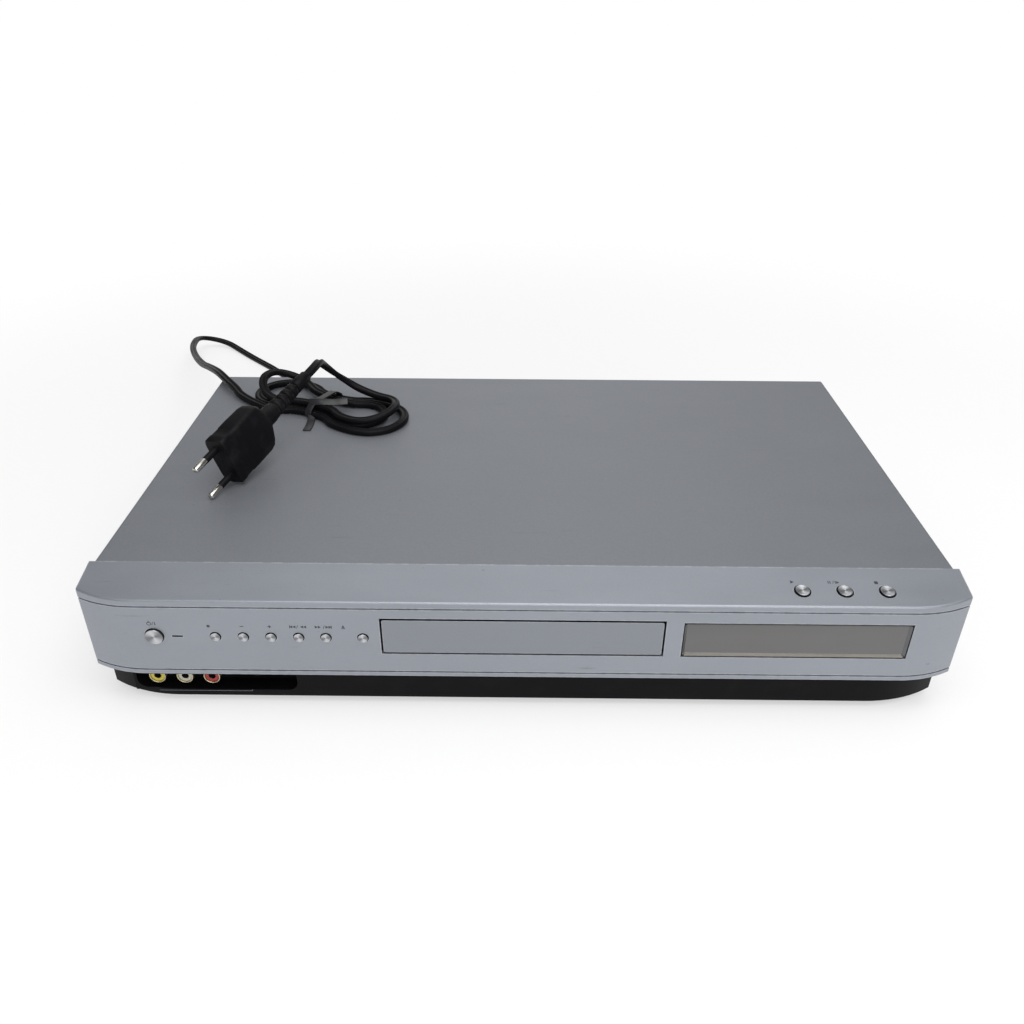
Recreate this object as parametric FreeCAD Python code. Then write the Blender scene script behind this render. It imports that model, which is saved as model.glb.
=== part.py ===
import FreeCAD, Part
import math
import os

# A disc recorder with its tray, loader, boards and captive mains lead.
# Millimetres: x to the right of a viewer at the front, y to the back, z up from the table.
# The origin is under the middle of the case, on the table. Depths are counted back from the front face.

# Case
overall_width = 430.0
overall_height = 72.0
case_depth = 256.0
cover_inset = 2.0
sheet = 1.0
slip = 0.2
foot_height = 4.6
foot_radius = 11.0
foot_from_end = 45.0
foot_depths = (48.0, 226.0)
fascia_depth = 25.5
fascia_wall = 2.5
brow_drop = 4.9
brow_round = 1.2
corner_radius = 58.8
corner_run = 28.0
silver_bottom = 21.8
groove_width = 0.8
groove_depth = 0.8
upper_groove_drop = 9.0
lower_groove_rise = 3.1
base_radius = 68.8
base_run = 37.0
base_inset = 3.4
base_end_inset = 3.0
base_wall = 2.5
rim_inset = 1.0
rim_height = 1.2
base_overlap = 29.0
tongue_length = 6.0
chassis_flange = 17.0
standoff_radius = 3.5
standoff_height = 6.4
standoff_inset = 6.0
rear_standoff_inset = 12.0
rear_flange = 11.0
vent_width = 2.5
vent_height = 22.0
vent_pitch = 7.0
vent_count = 9
vent_first_depth = 150.0
screw_head_radius = 4.0
screw_head_height = 1.6
screw_shank_radius = 1.5
screw_shank_length = 6.0
side_screw_from_front = 35.0
side_screw_from_rear = 36.0
rear_screw_from_end = 63.9

# Front controls, placed from the left or right end of the front panel
control_row_height = 45.8
power_from_left = 36.0
power_radius = 4.4
power_proud = 1.2
small_from_left = {
    "record_button": 65.7,
    "program_down_button": 79.3,
    "program_up_button": 92.8,
    "rewind_button": 106.2,
    "forward_button": 119.5,
    "open_close_button": 137.5,
}
small_radius = 2.5
small_proud = 0.8
top_from_right = {"play_button": 80.7, "pause_button": 60.3, "stop_button": 39.9}
top_key_radius = 3.8
top_key_proud = 0.9
top_key_depth = 10.0
button_gap = 0.35
button_travel = 0.6
flange_grow = 1.2
flange_thick = 1.0
flange_gap = 0.5
stem_radius = 1.2
switch_reach = 0.9
light_from_left = 47.2
light_length = 5.3
light_height = 0.9
light_depth = 10.0
window_from_right = 27.3
window_width = 110.2
window_height = 21.0
window_thick = 3.0
window_sunk = 0.6
window_gap = 0.3
control_board_depth = 14.0
display_board_depth = 18.0
board_thick = 1.6
boss_radius = 2.2
control_board_rise = 12.0
control_board_overhang = 8.0
boss_from_button = 5.0
boss_from_key = 9.0
boss_from_row = 9.5
boss_from_window = 8.0
switch_side = 6.0
switch_height = 3.4
plunger_radius = 1.7
plunger_height = 1.1
tube_width = 92.0
tube_height = 16.0
tube_thick = 6.0

# Front sockets in their recess
recess_from_left = 19.0
recess_width = 82.0
recess_bottom = 8.4
recess_depth = 9.0
recess_wall = 1.5
recess_round = 5.0
jack_height = 15.8
jack_from_left = (29.8, 43.8, 57.5)
svideo_from_left = 78.5
dv_from_left = 95.5
jack_board_depth = 24.0
phono_radius = 4.15
phono_wall = 0.5
phono_bore = 1.65
phono_length = 8.0
phono_body = 10.0
phono_hole_depth = 7.0
svideo_radius = 5.0
svideo_bore = 4.4
svideo_pin = 0.5
svideo_pin_ring = 2.2
svideo_key = 1.4
dv_width = 8.4
dv_height = 5.6
dv_mouth_width = 5.4
dv_mouth_height = 2.6

# Disc tray and its door
disc_radius = 60.0
disc_gap = 1.0
disc_hole_radius = 7.5
small_disc_radius = 41.5
spindle_depth = 78.0
tray_width = 131.2
tray_top = 53.0
tray_bottom = 45.2
recess_drop = 4.2
small_recess_drop = 5.6
tray_slot = 40.0
tray_rear_depth = 176.0
tray_travel = 140.0
door_width = 136.0
door_bottom = 36.9
door_top = 56.7
door_gap = 1.0

# Loader frame
frame_gap = 0.4
frame_wall = 8.0
frame_bottom = 24.0
frame_top = 57.2
frame_front_depth = 12.0
frame_rear_depth = 188.0
beam_depth = 26.0
beam_top = 38.0
ledge_top = 44.9
ledge_width = 2.5
tab_width = 5.0
tab_length = 10.0
tab_depths = (14.0, 96.0, 160.0)
leg_radius = 5.0
leg_depths = (36.0, 181.0)

# Loading gears, all of one module
gear_module = 1.0
pressure_angle = math.radians(20.0)
tooth_height = 0.85
tooth_root = 1.25
tooth_thinning = 0.25
tray_gear_teeth = 26
pinion_teeth = 12
gear_bottom = 40.8
gear_top = 44.6
gear_row_depth = 26.0
rack_pitch_x = -57.0
rack_back_x = -63.0
gear_shaft_radius = 1.5
running_gap = 0.05
gear_boss_radius = 3.0
belt_side = 1.2
big_pulley_radius = 12.0
small_pulley_radius = 3.6
pulley_lip = 0.9
pulley_bottom = 38.4
pulley_top = 40.5
pulley_spacing = 37.0
loading_motor_radius = 12.0
loading_motor_height = 13.0
motor_shaft_radius = 1.0

# Traverse with its spindle and pickup
hinge_depth = 163.0
hinge_height = 34.0
hinge_pin_radius = 2.0
hinge_pin_length = 14.0
traverse_width = 84.0
traverse_front_depth = 50.0
traverse_floor = 33.0
traverse_plate = 2.5
traverse_rise = 10.0
spindle_drop = 6.0
cam_travel = 12.0
cam_pin_radius = 1.5
cam_gap = 0.3
cam_plate = 2.0
cam_depth = 44.2
turntable_radius = 16.0
disc_plane = 50.6
turntable_thick = 2.4
spindle_boss_gap = 0.05
spindle_boss_height = 2.3
spindle_motor_radius = 13.0
spindle_motor_top = 44.4
rod_height = 40.0
rod_radius = 1.5
rod_places = (-24.0, 25.0)
rod_front_depth = 84.0
screw_place = 34.5
sled_motor_radius = 4.8
sled_motor_length = 15.0
pickup_inner_radius = 24.0
pickup_travel = 34.0
pickup_left = 19.0
pickup_right = 23.0
lens_from_front = 9.5
turret_radius = 7.0
turret_drop = 1.4
lens_thick = 2.4
lens_round = 0.9
bearing_wall = 3.6
bearing_half = 3.0
nut_length = 5.0
motor_plate_half = 15.0
motor_plate_thick = 1.4
turntable_hub_radius = 6.5
turntable_hub_gap = 0.6
spindle_boss_chamfer = 0.8
spindle_shaft_drop = 6.0
bridge_thick = 1.2
bridge_hole_gap = 0.6
puck_thick = 2.4
clamper_neck_length = 5.0
clamper_cap_grow = 2.5
clamper_cap_thick = 1.4
clamper_well_gap = 0.8
pickup_length = 27.5
pickup_top = 43.8
lens_radius = 2.75
lens_top = 48.8

# Clamp over the disc
bridge_width = 36.0
clamper_radius = 17.0
clamper_neck = 12.0
clamper_bottom = 54.0

# Boards, rear sockets and fan
board_height = 12.0
power_board_from_left = (12.0, 122.0)
power_board_depths = (62.0, 246.0)
main_board_right = 10.0
main_board_left = 85.0
main_board_front_depth = 52.0
rear_strip_depth = 200.0
tuner_width = 44.0
tuner_depth = 46.0
tuner_height = 34.0
tuner_left = -84.0
aerial_radius = 4.75
aerial_bore = 1.2
aerial_reach = 9.2
aerial_wall = 1.0
aerial_core_gap = 0.6
aerial_depth = 7.0
aerial_bore_depth = 5.0
tuner_leg_radius = 0.8
tuner_leg_inset = 3.0
aerial_places = ((-73.0, 24.0), (-53.0, 40.0))
scart_place = 0.0
scart_heights = (24.0, 48.0)
scart_width = 50.0
scart_height = 14.0
scart_slots = 10
scart_slot_pitch = 3.8
scart_slot_width = 1.2
scart_slot_height = 4.4
scart_depth = 15.0
scart_mouth_depth = 10.0
scart_core_drop = 3.0
rear_jack_places = (80.0, 98.0, 116.0)
rear_jack_heights = (22.0, 42.0)
fan_place = -114.0
fan_height = 40.0
fan_side = 40.0
fan_thick = 10.0
fan_bore = 18.7
fan_rotor_radius = 18.0
fan_hub_radius = 8.5
fan_blades = 7
fan_slot_pitch = 5.0
fan_slot_width = 3.0
fan_slot_count = 7
blade_thick = 1.2

# Captive mains lead: a round section stands for the flat cord's width
cord_diameter = 5.2
cord_clearance = 0.3
cord_exit_x = -165.0
cord_exit_z = 30.0
relief_length = 24.0
relief_root_radius = 5.5
relief_end_radius = 3.6

# Hank of the lead, tied at its waist
hank_centre = (-131.5, 205.0)
hank_angle = math.radians(-28.0)
hank_half_length = 50.5
hank_outer_radius = 21.3
hank_inner_radius = 15.6
hank_outer_waist = 14.0
hank_inner_waist = 8.3
hank_waist_half = 5.0
hank_rise = 3.7
hank_layer = 5.8
hank_reach = {"outer_right": 9.0, "inner_right": 0.0, "upper_right": 4.0, "lower_left": 5.0, "upper_left": 1.0}
tie_width = 7.0
tie_thick = 0.8
tie_gap = 1.0

# Two-pin plug, lying on its edge
plug_width = 30.0
plug_thick = 15.0
plug_round = 4.0
plug_body_length = 30.0
plug_shoulder = 8.0
plug_neck = 8.0
plug_relief = 38.0
plug_roll = 81.0
plug_heading = 246.0
plug_lean = 14.0
plug_face = (-166.9, 100.4, 15.4)
lead_out_first = 7.0
lead_out_last = 10.0
lead_out_middle = (
    (-110.0, 216.6, 11.6),
    (-117.2, 216.6, 15.8),
    (-123.6, 213.6, 21.3),
    (-127.9, 208.6, 27.6),
    (-130.0, 201.6, 33.6),
    (-129.0, 193.2, 37.8),
)
pin_radius = 2.0
pin_length = 19.0
pin_sleeve = 10.0
pin_spacing = 18.6
pin_nose = 1.2
plug_shoulder_width = 18.6
plug_shoulder_thick = 12.9
plug_neck_radius = 5.6
plug_relief_radius = 5.2
relief_groove_count = 5
relief_groove_first = 3.0
relief_groove_pitch = 5.2
relief_groove_width = 1.6
relief_core_radius = 3.4
grommet_flange = 2.5
grommet_collar = 1.5
grommet_collar_thick = 2.0

# Places that follow from the sizes above
front_y = (power_proud - case_depth - relief_length) / 2
rear_y = front_y + case_depth
left_end = -overall_width / 2
right_end = overall_width / 2
cover_outer = overall_width / 2 - cover_inset
cover_inner = cover_outer - sheet
floor_top = foot_height + sheet
roof_inner = overall_height - sheet
panel_outer = rear_y - sheet
panel_inner = panel_outer - sheet
brow_slope = math.atan2(brow_drop, fascia_depth)
spindle_y = front_y + spindle_depth
gear_y = front_y + gear_row_depth
tray_gear_x = rack_pitch_x + gear_module * tray_gear_teeth / 2
pinion_x = tray_gear_x + gear_module * (tray_gear_teeth + pinion_teeth) / 2
motor_x = pinion_x + pulley_spacing
hinge_y = front_y + hinge_depth
cam_pin_depth = cam_depth + cam_plate / 2
traverse_angle = math.asin(spindle_drop / (hinge_depth - spindle_depth))
cam_drop = (hinge_depth - cam_pin_depth) * math.sin(traverse_angle)
pcb_top = board_height + board_thick
cord_radius = cord_diameter / 2
exit_depth = case_depth + relief_length
X = FreeCAD.Vector(1, 0, 0)
Y = FreeCAD.Vector(0, 1, 0)
Z = FreeCAD.Vector(0, 0, 1)
nodes = {}


def vec(x, y, z):
    return FreeCAD.Vector(x, y, z)


def front(depth):
    return front_y + depth


def block(x0, x1, y0, y1, z0, z1):
    return Part.makeBox(x1 - x0, y1 - y0, z1 - z0, vec(x0, y0, z0))


def rod(radius, length, start, axis):
    return Part.makeCylinder(radius, length, start, axis)


def cone(radius_a, radius_b, length, start, axis):
    return Part.makeCone(radius_a, radius_b, length, start, axis)


def join(shapes):
    return shapes[0].multiFuse(shapes[1:]).removeSplitter()


def cut(shape, tools):
    return shape.cut(Part.makeCompound(tools))


def edges_along(shape, axis):
    found = []
    for edge in shape.Edges:
        if isinstance(edge.Curve, Part.Line) and abs(edge.Curve.Direction.dot(axis)) > 0.999:
            found.append(edge)
    return found


def rounded(shape, radius, axis):
    return shape.makeFillet(radius, edges_along(shape, axis))


def prism(points, axis, length):
    """A straight prism on a flat outline of points."""
    wire = Part.makePolygon(list(points) + [points[0]])
    return Part.Face(wire).extrude(axis * length)


def keep(name, shapes):
    """Stores a node as one solid or as a group of separate solids."""
    group = shapes if isinstance(shapes, list) else [shapes]
    solids = [solid for shape in group for solid in shape.Solids]
    nodes[name] = solids[0] if len(solids) == 1 else Part.makeCompound(solids)


# Case


def plan_face(half_width, face_y, run, radius, back_y, z):
    """The plan of the front: straight, then an arc back to each end, then the sides."""
    drop = radius - math.sqrt(radius * radius - run * run)
    bend = math.asin(run / radius) / 2
    shoulder = half_width - run
    across = radius * math.sin(bend)
    along = face_y + radius - radius * math.cos(bend)
    left_mid = vec(-shoulder - across, along, z)
    right_mid = vec(shoulder + across, along, z)
    a = vec(-half_width, back_y, z)
    b = vec(-half_width, face_y + drop, z)
    c = vec(-shoulder, face_y, z)
    d = vec(shoulder, face_y, z)
    e = vec(half_width, face_y + drop, z)
    f = vec(half_width, back_y, z)
    edges = [
        Part.LineSegment(a, b).toShape(),
        Part.Arc(b, left_mid, c).toShape(),
        Part.LineSegment(c, d).toShape(),
        Part.Arc(d, right_mid, e).toShape(),
        Part.LineSegment(e, f).toShape(),
        Part.LineSegment(f, a).toShape(),
    ]
    return Part.Face(Part.Wire(edges))


def fascia_plan(inset, back_y, z):
    half = overall_width / 2 - inset
    return plan_face(half, front_y + inset, corner_run, corner_radius - inset, back_y, z)


def brow_wedge(inset, top):
    """What lies above the sloping top, for an outline drawn in by inset."""
    high = overall_height + brow_drop
    wide = overall_width
    start = front_y - fascia_depth
    low_z = top - brow_drop - math.tan(brow_slope) * fascia_depth
    points = [
        vec(-wide, start, low_z - inset),
        vec(-wide, front_y + fascia_depth, top - inset),
        vec(-wide, front_y + fascia_depth, high),
        vec(-wide, start, high),
    ]
    return prism(points, X, 2 * wide)


def fascia_shell():
    back = front(fascia_depth)
    outer = fascia_plan(0, back, silver_bottom).extrude(Z * (overall_height - silver_bottom))
    outer = outer.cut(brow_wedge(0, overall_height))
    rim = [
        edge
        for edge in outer.Edges
        if edge.BoundBox.YMax < back - 1 and edge.BoundBox.ZMin > overall_height - 2 * brow_drop
    ]
    outer = outer.makeFillet(brow_round, rim)
    inner = fascia_plan(fascia_wall, back + sheet, silver_bottom - sheet)
    inner = inner.extrude(Z * overall_height)
    inner = inner.cut(brow_wedge(fascia_wall, overall_height))
    return outer.cut(inner)


def fascia_tongue():
    """The strip that the cover slides over, behind the seam."""
    back = front(fascia_depth)
    half = cover_inner - slip
    top = roof_inner - slip
    inner = half - fascia_wall
    hoop = block(-half, half, back - fascia_wall, back + tongue_length, silver_bottom, top)
    corners = [edge for edge in edges_along(hoop, Y) if edge.BoundBox.ZMin > silver_bottom + 1]
    hoop = hoop.makeFillet(2 * sheet, corners)
    hole = block(
        -inner, inner, back - 2 * fascia_wall, back + tongue_length, silver_bottom - 1, top - fascia_wall
    )
    return hoop.cut(hole)


def fascia_groove(height):
    depth = groove_depth
    outer = fascia_plan(-1, front(fascia_depth) - 2 * fascia_wall, height)
    inner = fascia_plan(depth, front(fascia_depth), height)
    return outer.cut(inner).extrude(Z * groove_width)


def board_bosses():
    """Posts behind the front panel that carry the control, display and top key boards."""
    start = front(fascia_wall / 2)
    places = []
    first = left_end + power_from_left - boss_from_button
    last = left_end + small_from_left["open_close_button"] - boss_from_key
    for x in (first, last):
        for z in (control_row_height - boss_from_row, control_row_height + boss_from_row):
            places.append((x, z, control_board_depth))
    x0, x1 = window_span()
    for x in (x0 + boss_from_window, x1 - boss_from_window):
        places.append((x, display_board_bottom() + boss_radius + slip, display_board_depth))
    bosses = []
    for x, z, depth in places:
        bosses.append(rod(boss_radius, front(depth) - start, vec(x, start, z), Y))
    keys = sorted(top_from_right.values())
    for first, second in zip(keys, keys[1:]):
        post = rod(
            boss_radius,
            control_board_depth - fascia_wall / 2,
            vec(0, 0, -control_board_depth),
            Z,
        )
        bosses.append(on_brow(post, right_end - (first + second) / 2))
    return bosses


def make_front_fascia():
    shell = join([fascia_shell(), fascia_tongue()] + board_bosses())
    thick = 2 * fascia_wall
    tools = [
        fascia_groove(overall_height - upper_groove_drop),
        fascia_groove(silver_bottom + lower_groove_rise - groove_width),
        block(
            -door_width / 2 - door_gap,
            door_width / 2 + door_gap,
            front_y - 1,
            front(thick),
            door_bottom - door_gap,
            door_top + door_gap,
        ),
        block(
            right_end - window_from_right - window_width,
            right_end - window_from_right,
            front_y - 1,
            front(thick),
            door_top - window_height,
            door_top,
        ),
        block(
            left_end + light_from_left - light_length / 2,
            left_end + light_from_left + light_length / 2,
            front_y - 1,
            front(thick),
            control_row_height - light_height / 2,
            control_row_height + light_height / 2,
        ),
    ]
    start_y = front_y - 1
    place = vec(left_end + power_from_left, start_y, control_row_height)
    tools.append(rod(power_radius + button_gap, thick, place, Y))
    for offset in small_from_left.values():
        place = vec(left_end + offset, start_y, control_row_height)
        tools.append(rod(small_radius + button_gap, thick, place, Y))
    for offset in top_from_right.values():
        hole = rod(top_key_radius + button_gap, 2 * thick, vec(0, 0, -thick), Z)
        tools.append(on_brow(hole, right_end - offset))
    keep("front_fascia", cut(shell, tools))


def on_brow(shape, x):
    """Moves a shape made about the origin to the sloping top, square to its surface."""
    placed = shape.copy()
    height = overall_height - brow_drop + math.tan(brow_slope) * top_key_depth
    placed.rotate(vec(0, 0, 0), X, math.degrees(brow_slope))
    placed.translate(vec(x, front(top_key_depth), height))
    return placed


def base_plan(inset, back_y, z):
    half = overall_width / 2 - base_end_inset - inset
    return plan_face(
        half, front_y + base_inset + inset, base_run, base_radius - inset, back_y, z
    )


def recess_box(grow):
    x0 = left_end + recess_from_left - grow
    x1 = left_end + recess_from_left + recess_width + grow
    y1 = front(base_inset + recess_depth) + grow
    box = block(x0, x1, front_y + base_inset - 1, y1, recess_bottom - grow, silver_bottom + grow)
    return box


def make_lower_fascia():
    back = front(base_overlap)
    height = silver_bottom - foot_height
    outer = base_plan(0, back, foot_height).extrude(Z * height)
    inner = base_plan(base_wall, back + sheet, foot_height + base_wall).extrude(Z * height)
    rim_z = silver_bottom - rim_height
    rim = fascia_plan(rim_inset, front(fascia_depth), rim_z).extrude(Z * rim_height)
    rim_hole = fascia_plan(base_inset + base_wall, back, rim_z - 1).extrude(Z * (rim_height + 2))
    shell = join([outer.cut(inner), rim.cut(rim_hole)])
    pocket = recess_box(recess_wall)
    pocket = pocket.common(block(
        left_end,
        0,
        front(base_inset + base_wall / 2),
        front(fascia_depth),
        foot_height,
        overall_height,
    ))
    shell = join([shell, pocket])
    mouth = rounded(recess_box(0), recess_round, Y)
    tools = [mouth]
    wall_y = front(base_inset + recess_depth) - 1
    for offset in jack_from_left:
        place = vec(left_end + offset, wall_y, jack_height)
        tools.append(rod(phono_radius + slip, 2 + recess_wall, place, Y))
    place = vec(left_end + svideo_from_left, wall_y, jack_height)
    tools.append(rod(svideo_radius + slip, 2 + recess_wall, place, Y))
    tools.append(
        block(
            left_end + dv_from_left - dv_width / 2 - slip,
            left_end + dv_from_left + dv_width / 2 + slip,
            wall_y,
            wall_y + 2 + recess_wall,
            jack_height - dv_height / 2 - slip,
            jack_height + dv_height / 2 + slip,
        )
    )
    keep("lower_fascia", cut(shell, tools))


def board_posts():
    """Places of the posts under the boards, in x and y."""
    power_x0 = left_end + power_board_from_left[0]
    power_x1 = left_end + power_board_from_left[1]
    places = []
    for x in (power_x0 + standoff_inset, power_x1 - standoff_inset):
        for depth in (power_board_depths[0] + standoff_inset, power_board_depths[1] - standoff_inset):
            places.append((x, front(depth)))
    main_x1 = right_end - main_board_right
    for x in (main_board_left + standoff_inset, main_x1 - standoff_inset):
        places.append((x, front(main_board_front_depth + standoff_inset)))
        places.append((x, panel_inner - rear_standoff_inset))
    return places


def make_bottom_chassis():
    x1 = cover_inner - slip
    y0 = front(base_overlap)
    y1 = panel_outer
    parts = [
        block(-x1, x1, y0, y1, foot_height, floor_top),
        block(-x1, -x1 + sheet, y0, panel_inner, foot_height, foot_height + chassis_flange),
        block(x1 - sheet, x1, y0, panel_inner, foot_height, foot_height + chassis_flange),
    ]
    for x, y in board_posts():
        parts.append(rod(standoff_radius, standoff_height + sheet, vec(x, y, foot_height), Z))
    chassis = join(parts)
    tools = []
    for side in (-1, 1):
        for depth in foot_depths:
            tools.append(
                rod(
                    screw_shank_radius,
                    sheet + 2,
                    vec(side * (overall_width / 2 - foot_from_end), front(depth), foot_height - 1),
                    Z,
                )
            )
        for depth in side_screw_depths():
            place = vec(side * (x1 - 2 * sheet), front(depth), side_screw_height())
            tools.append(rod(screw_shank_radius, 4 * sheet, place, X * side))
    keep("bottom_chassis", cut(chassis, tools))


def side_screw_depths():
    return (base_overlap + side_screw_from_front, case_depth - side_screw_from_rear)


def side_screw_height():
    return foot_height + chassis_flange / 2


def rear_screw_places():
    x = cover_outer - rear_screw_from_end
    return [vec(place, panel_outer, overall_height - rear_flange / 2) for place in (-x, 0, x)]


def make_top_cover():
    y0 = front(fascia_depth)
    hull = block(-cover_outer, cover_outer, y0, rear_y, floor_top, overall_height)
    roof_edges = [edge for edge in edges_along(hull, Y) if edge.BoundBox.ZMin > floor_top + 1]
    hull = hull.makeFillet(2 * sheet, roof_edges)
    room = block(-cover_inner, cover_inner, y0 - 1, panel_outer, 0, roof_inner)
    room_edges = [edge for edge in edges_along(room, Y) if edge.BoundBox.ZMin > floor_top]
    room = room.makeFillet(sheet, room_edges)
    back = block(
        -cover_inner, cover_inner, panel_outer - 1, rear_y + 1, 0, overall_height - rear_flange
    )
    tools = [room, back]
    low = floor_top + (overall_height - floor_top - vent_height) / 2
    for index in range(vent_count):
        y = front(vent_first_depth + index * vent_pitch)
        slot = block(-overall_width, overall_width, y, y + vent_width, low, low + vent_height)
        tools.append(slot)
    for side in (-1, 1):
        for depth in side_screw_depths():
            place = vec(side * (cover_inner - 1), front(depth), side_screw_height())
            tools.append(rod(screw_shank_radius, 2 * sheet + 2, place, X * side))
    for place in rear_screw_places():
        tools.append(rod(screw_shank_radius, 4 * sheet, place - Y * sheet, Y))
    keep("top_cover", cut(hull, tools))


def fan_slots():
    """Openings of the panel's grille before the fan."""
    tools = []
    for index in range(fan_slot_count):
        offset = (index - (fan_slot_count - 1) / 2) * fan_slot_pitch
        reach = math.sqrt(fan_bore * fan_bore - offset * offset)
        x = fan_place + offset
        tools.append(
            block(
                x - fan_slot_width / 2,
                x + fan_slot_width / 2,
                panel_inner - 1,
                panel_outer + 1,
                fan_height - reach,
                fan_height + reach,
            )
        )
    return tools


def make_rear_panel():
    x1 = cover_inner - slip
    plate = block(-x1, x1, panel_inner, panel_outer, floor_top, roof_inner - slip)
    foot = block(-x1 + sheet, x1 - sheet, panel_inner - 10, panel_inner, floor_top, floor_top + sheet)
    tools = fan_slots()
    start = panel_inner - 1
    reach = sheet + 2
    tools.append(rod(relief_root_radius, reach, vec(cord_exit_x, start, cord_exit_z), Y))
    for x, z in aerial_places:
        tools.append(rod(aerial_radius + slip, reach, vec(x, start, z), Y))
    for height in scart_heights:
        tools.append(
            block(
                scart_place - scart_width / 2 - slip,
                scart_place + scart_width / 2 + slip,
                start,
                start + reach,
                height - scart_height / 2 - slip,
                height + scart_height / 2 + slip,
            )
        )
    for x in rear_jack_places:
        for z in rear_jack_heights:
            tools.append(rod(phono_radius + slip, reach, vec(x, start, z), Y))
    for place in rear_screw_places():
        tools.append(rod(screw_shank_radius, reach, vec(place.x, start, place.z), Y))
    posts = []
    for x, y in board_posts():
        posts.append(rod(standoff_radius + slip, standoff_height, vec(x, y, foot_height), Z))
    keep("rear_panel", cut(join([plate, foot]), tools + posts))


def make_foot_pads():
    pads = []
    for side in (-1, 1):
        for depth in foot_depths:
            place = vec(side * (overall_width / 2 - foot_from_end), front(depth), 0)
            pad = cone(foot_radius - 1, foot_radius, foot_height, place, Z)
            stud = rod(screw_shank_radius - running_gap, foot_height, place + Z * 2, Z)
            pads.append(join([pad, stud]))
    keep("foot_pads", pads)


def screw(place, axis):
    """A pan-head screw whose head stands on the sheet at place."""
    head = rod(screw_head_radius, screw_head_height, place, axis)
    rim = [edge for edge in head.Edges if abs((edge.CenterOfMass - place).dot(axis)) > 1]
    head = head.makeFillet(screw_head_height / 2, [e for e in rim if e.Closed])
    shank = rod(screw_shank_radius, screw_shank_length, place - axis * screw_shank_length, axis)
    slot_depth = screw_head_height / 2
    tip = place + axis * screw_head_height
    arm = screw_head_radius * 0.55
    across = Z if abs(axis.z) < 0.5 else X
    other = axis.cross(across)
    cross = []
    for direction, normal in ((across, other), (other, across)):
        corner = tip - direction * arm - normal * 0.5 - axis * slot_depth
        points = [
            corner,
            corner + direction * 2 * arm,
            corner + direction * 2 * arm + normal,
            corner + normal,
        ]
        cross.append(prism(points, axis, screw_head_height))
    return cut(join([head, shank]), cross)


def make_case_screws():
    screws = []
    for side in (-1, 1):
        for depth in side_screw_depths():
            place = vec(side * cover_outer, front(depth), side_screw_height())
            screws.append(screw(place, X * side))
    for place in rear_screw_places():
        screws.append(screw(vec(place.x, rear_y, place.z), Y))
    keep("case_screws", screws)


# Front controls


def button_shape(radius, proud, reach):
    """A round cap on a flange and stem, about the origin, pressed towards -z."""
    cap = rod(radius, proud + fascia_wall + flange_gap, vec(0, 0, -fascia_wall - flange_gap), Z)
    rim = [edge for edge in cap.Edges if edge.Closed and edge.CenterOfMass.z > 0]
    cap = cap.makeFillet(proud / 2, rim)
    low = -fascia_wall - flange_gap - flange_thick
    flange = rod(radius + flange_grow, flange_thick, vec(0, 0, low), Z)
    stem = rod(stem_radius, reach + low, vec(0, 0, -reach), Z)
    return join([cap, flange, stem])


def facing_front(shape, x, z):
    """Turns a shape made about +z to face the viewer and sets it in the front panel."""
    placed = shape.copy()
    placed.rotate(vec(0, 0, 0), X, 90)
    placed.translate(vec(x, front_y, z))
    return placed


def switch_shape(board_drop):
    """A small press switch on a board whose face lies board_drop below the panel."""
    side = switch_side
    body = block(-side / 2, side / 2, -side / 2, side / 2, -board_drop, switch_height - board_drop)
    plunger = rod(plunger_radius, plunger_height, vec(0, 0, switch_height - board_drop), Z)
    return join([body, plunger])


def stem_reach(board_drop):
    return board_drop - switch_height - plunger_height - switch_reach


def make_buttons():
    reach = stem_reach(control_board_depth)
    power = button_shape(power_radius, power_proud, reach)
    keep("power_button", facing_front(power, left_end + power_from_left, control_row_height))
    small = button_shape(small_radius, small_proud, reach)
    for name, offset in small_from_left.items():
        keep(name, facing_front(small, left_end + offset, control_row_height))
    top = button_shape(top_key_radius, top_key_proud, stem_reach(control_board_depth))
    for name, offset in top_from_right.items():
        keep(name, on_brow(top, right_end - offset))


def make_status_light():
    x = left_end + light_from_left
    half = light_length / 2 - slip / 2
    tall = light_height / 2 - slip / 4
    keep(
        "status_light",
        block(
            x - half,
            x + half,
            front_y - slip / 2,
            front(light_depth),
            control_row_height - tall,
            control_row_height + tall,
        ),
    )


def window_span():
    x1 = right_end - window_from_right
    return x1 - window_width, x1


def make_display_window():
    x0, x1 = window_span()
    z0 = door_top - window_height
    gap = window_gap
    y0 = front(window_sunk)
    pane = block(x0 + gap, x1 - gap, y0, y0 + window_thick, z0 + gap, door_top - gap)
    edge = sheet
    back_y = front(fascia_wall + slip)
    flange = block(x0 - edge, x1 + edge, back_y, back_y + sheet, z0 - edge, door_top + edge)
    face = [e for e in pane.Edges if e.BoundBox.YMax < y0 + gap]
    pane = pane.makeChamfer(sheet, face)
    keep("display_window", join([pane, flange]))


def make_control_board():
    x0 = left_end + power_from_left - control_board_overhang
    x1 = left_end + max(small_from_left.values()) + switch_side / 2
    z0 = control_row_height - control_board_rise
    z1 = control_row_height + control_board_rise
    y0 = front(control_board_depth)
    group = [block(x0, x1, y0, y0 + board_thick, z0, z1)]
    part = switch_shape(control_board_depth)
    for offset in [power_from_left] + list(small_from_left.values()):
        group.append(facing_front(part, left_end + offset, control_row_height))
    keep("control_board", group)


def display_board_bottom():
    return door_top - window_height - 8


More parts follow.
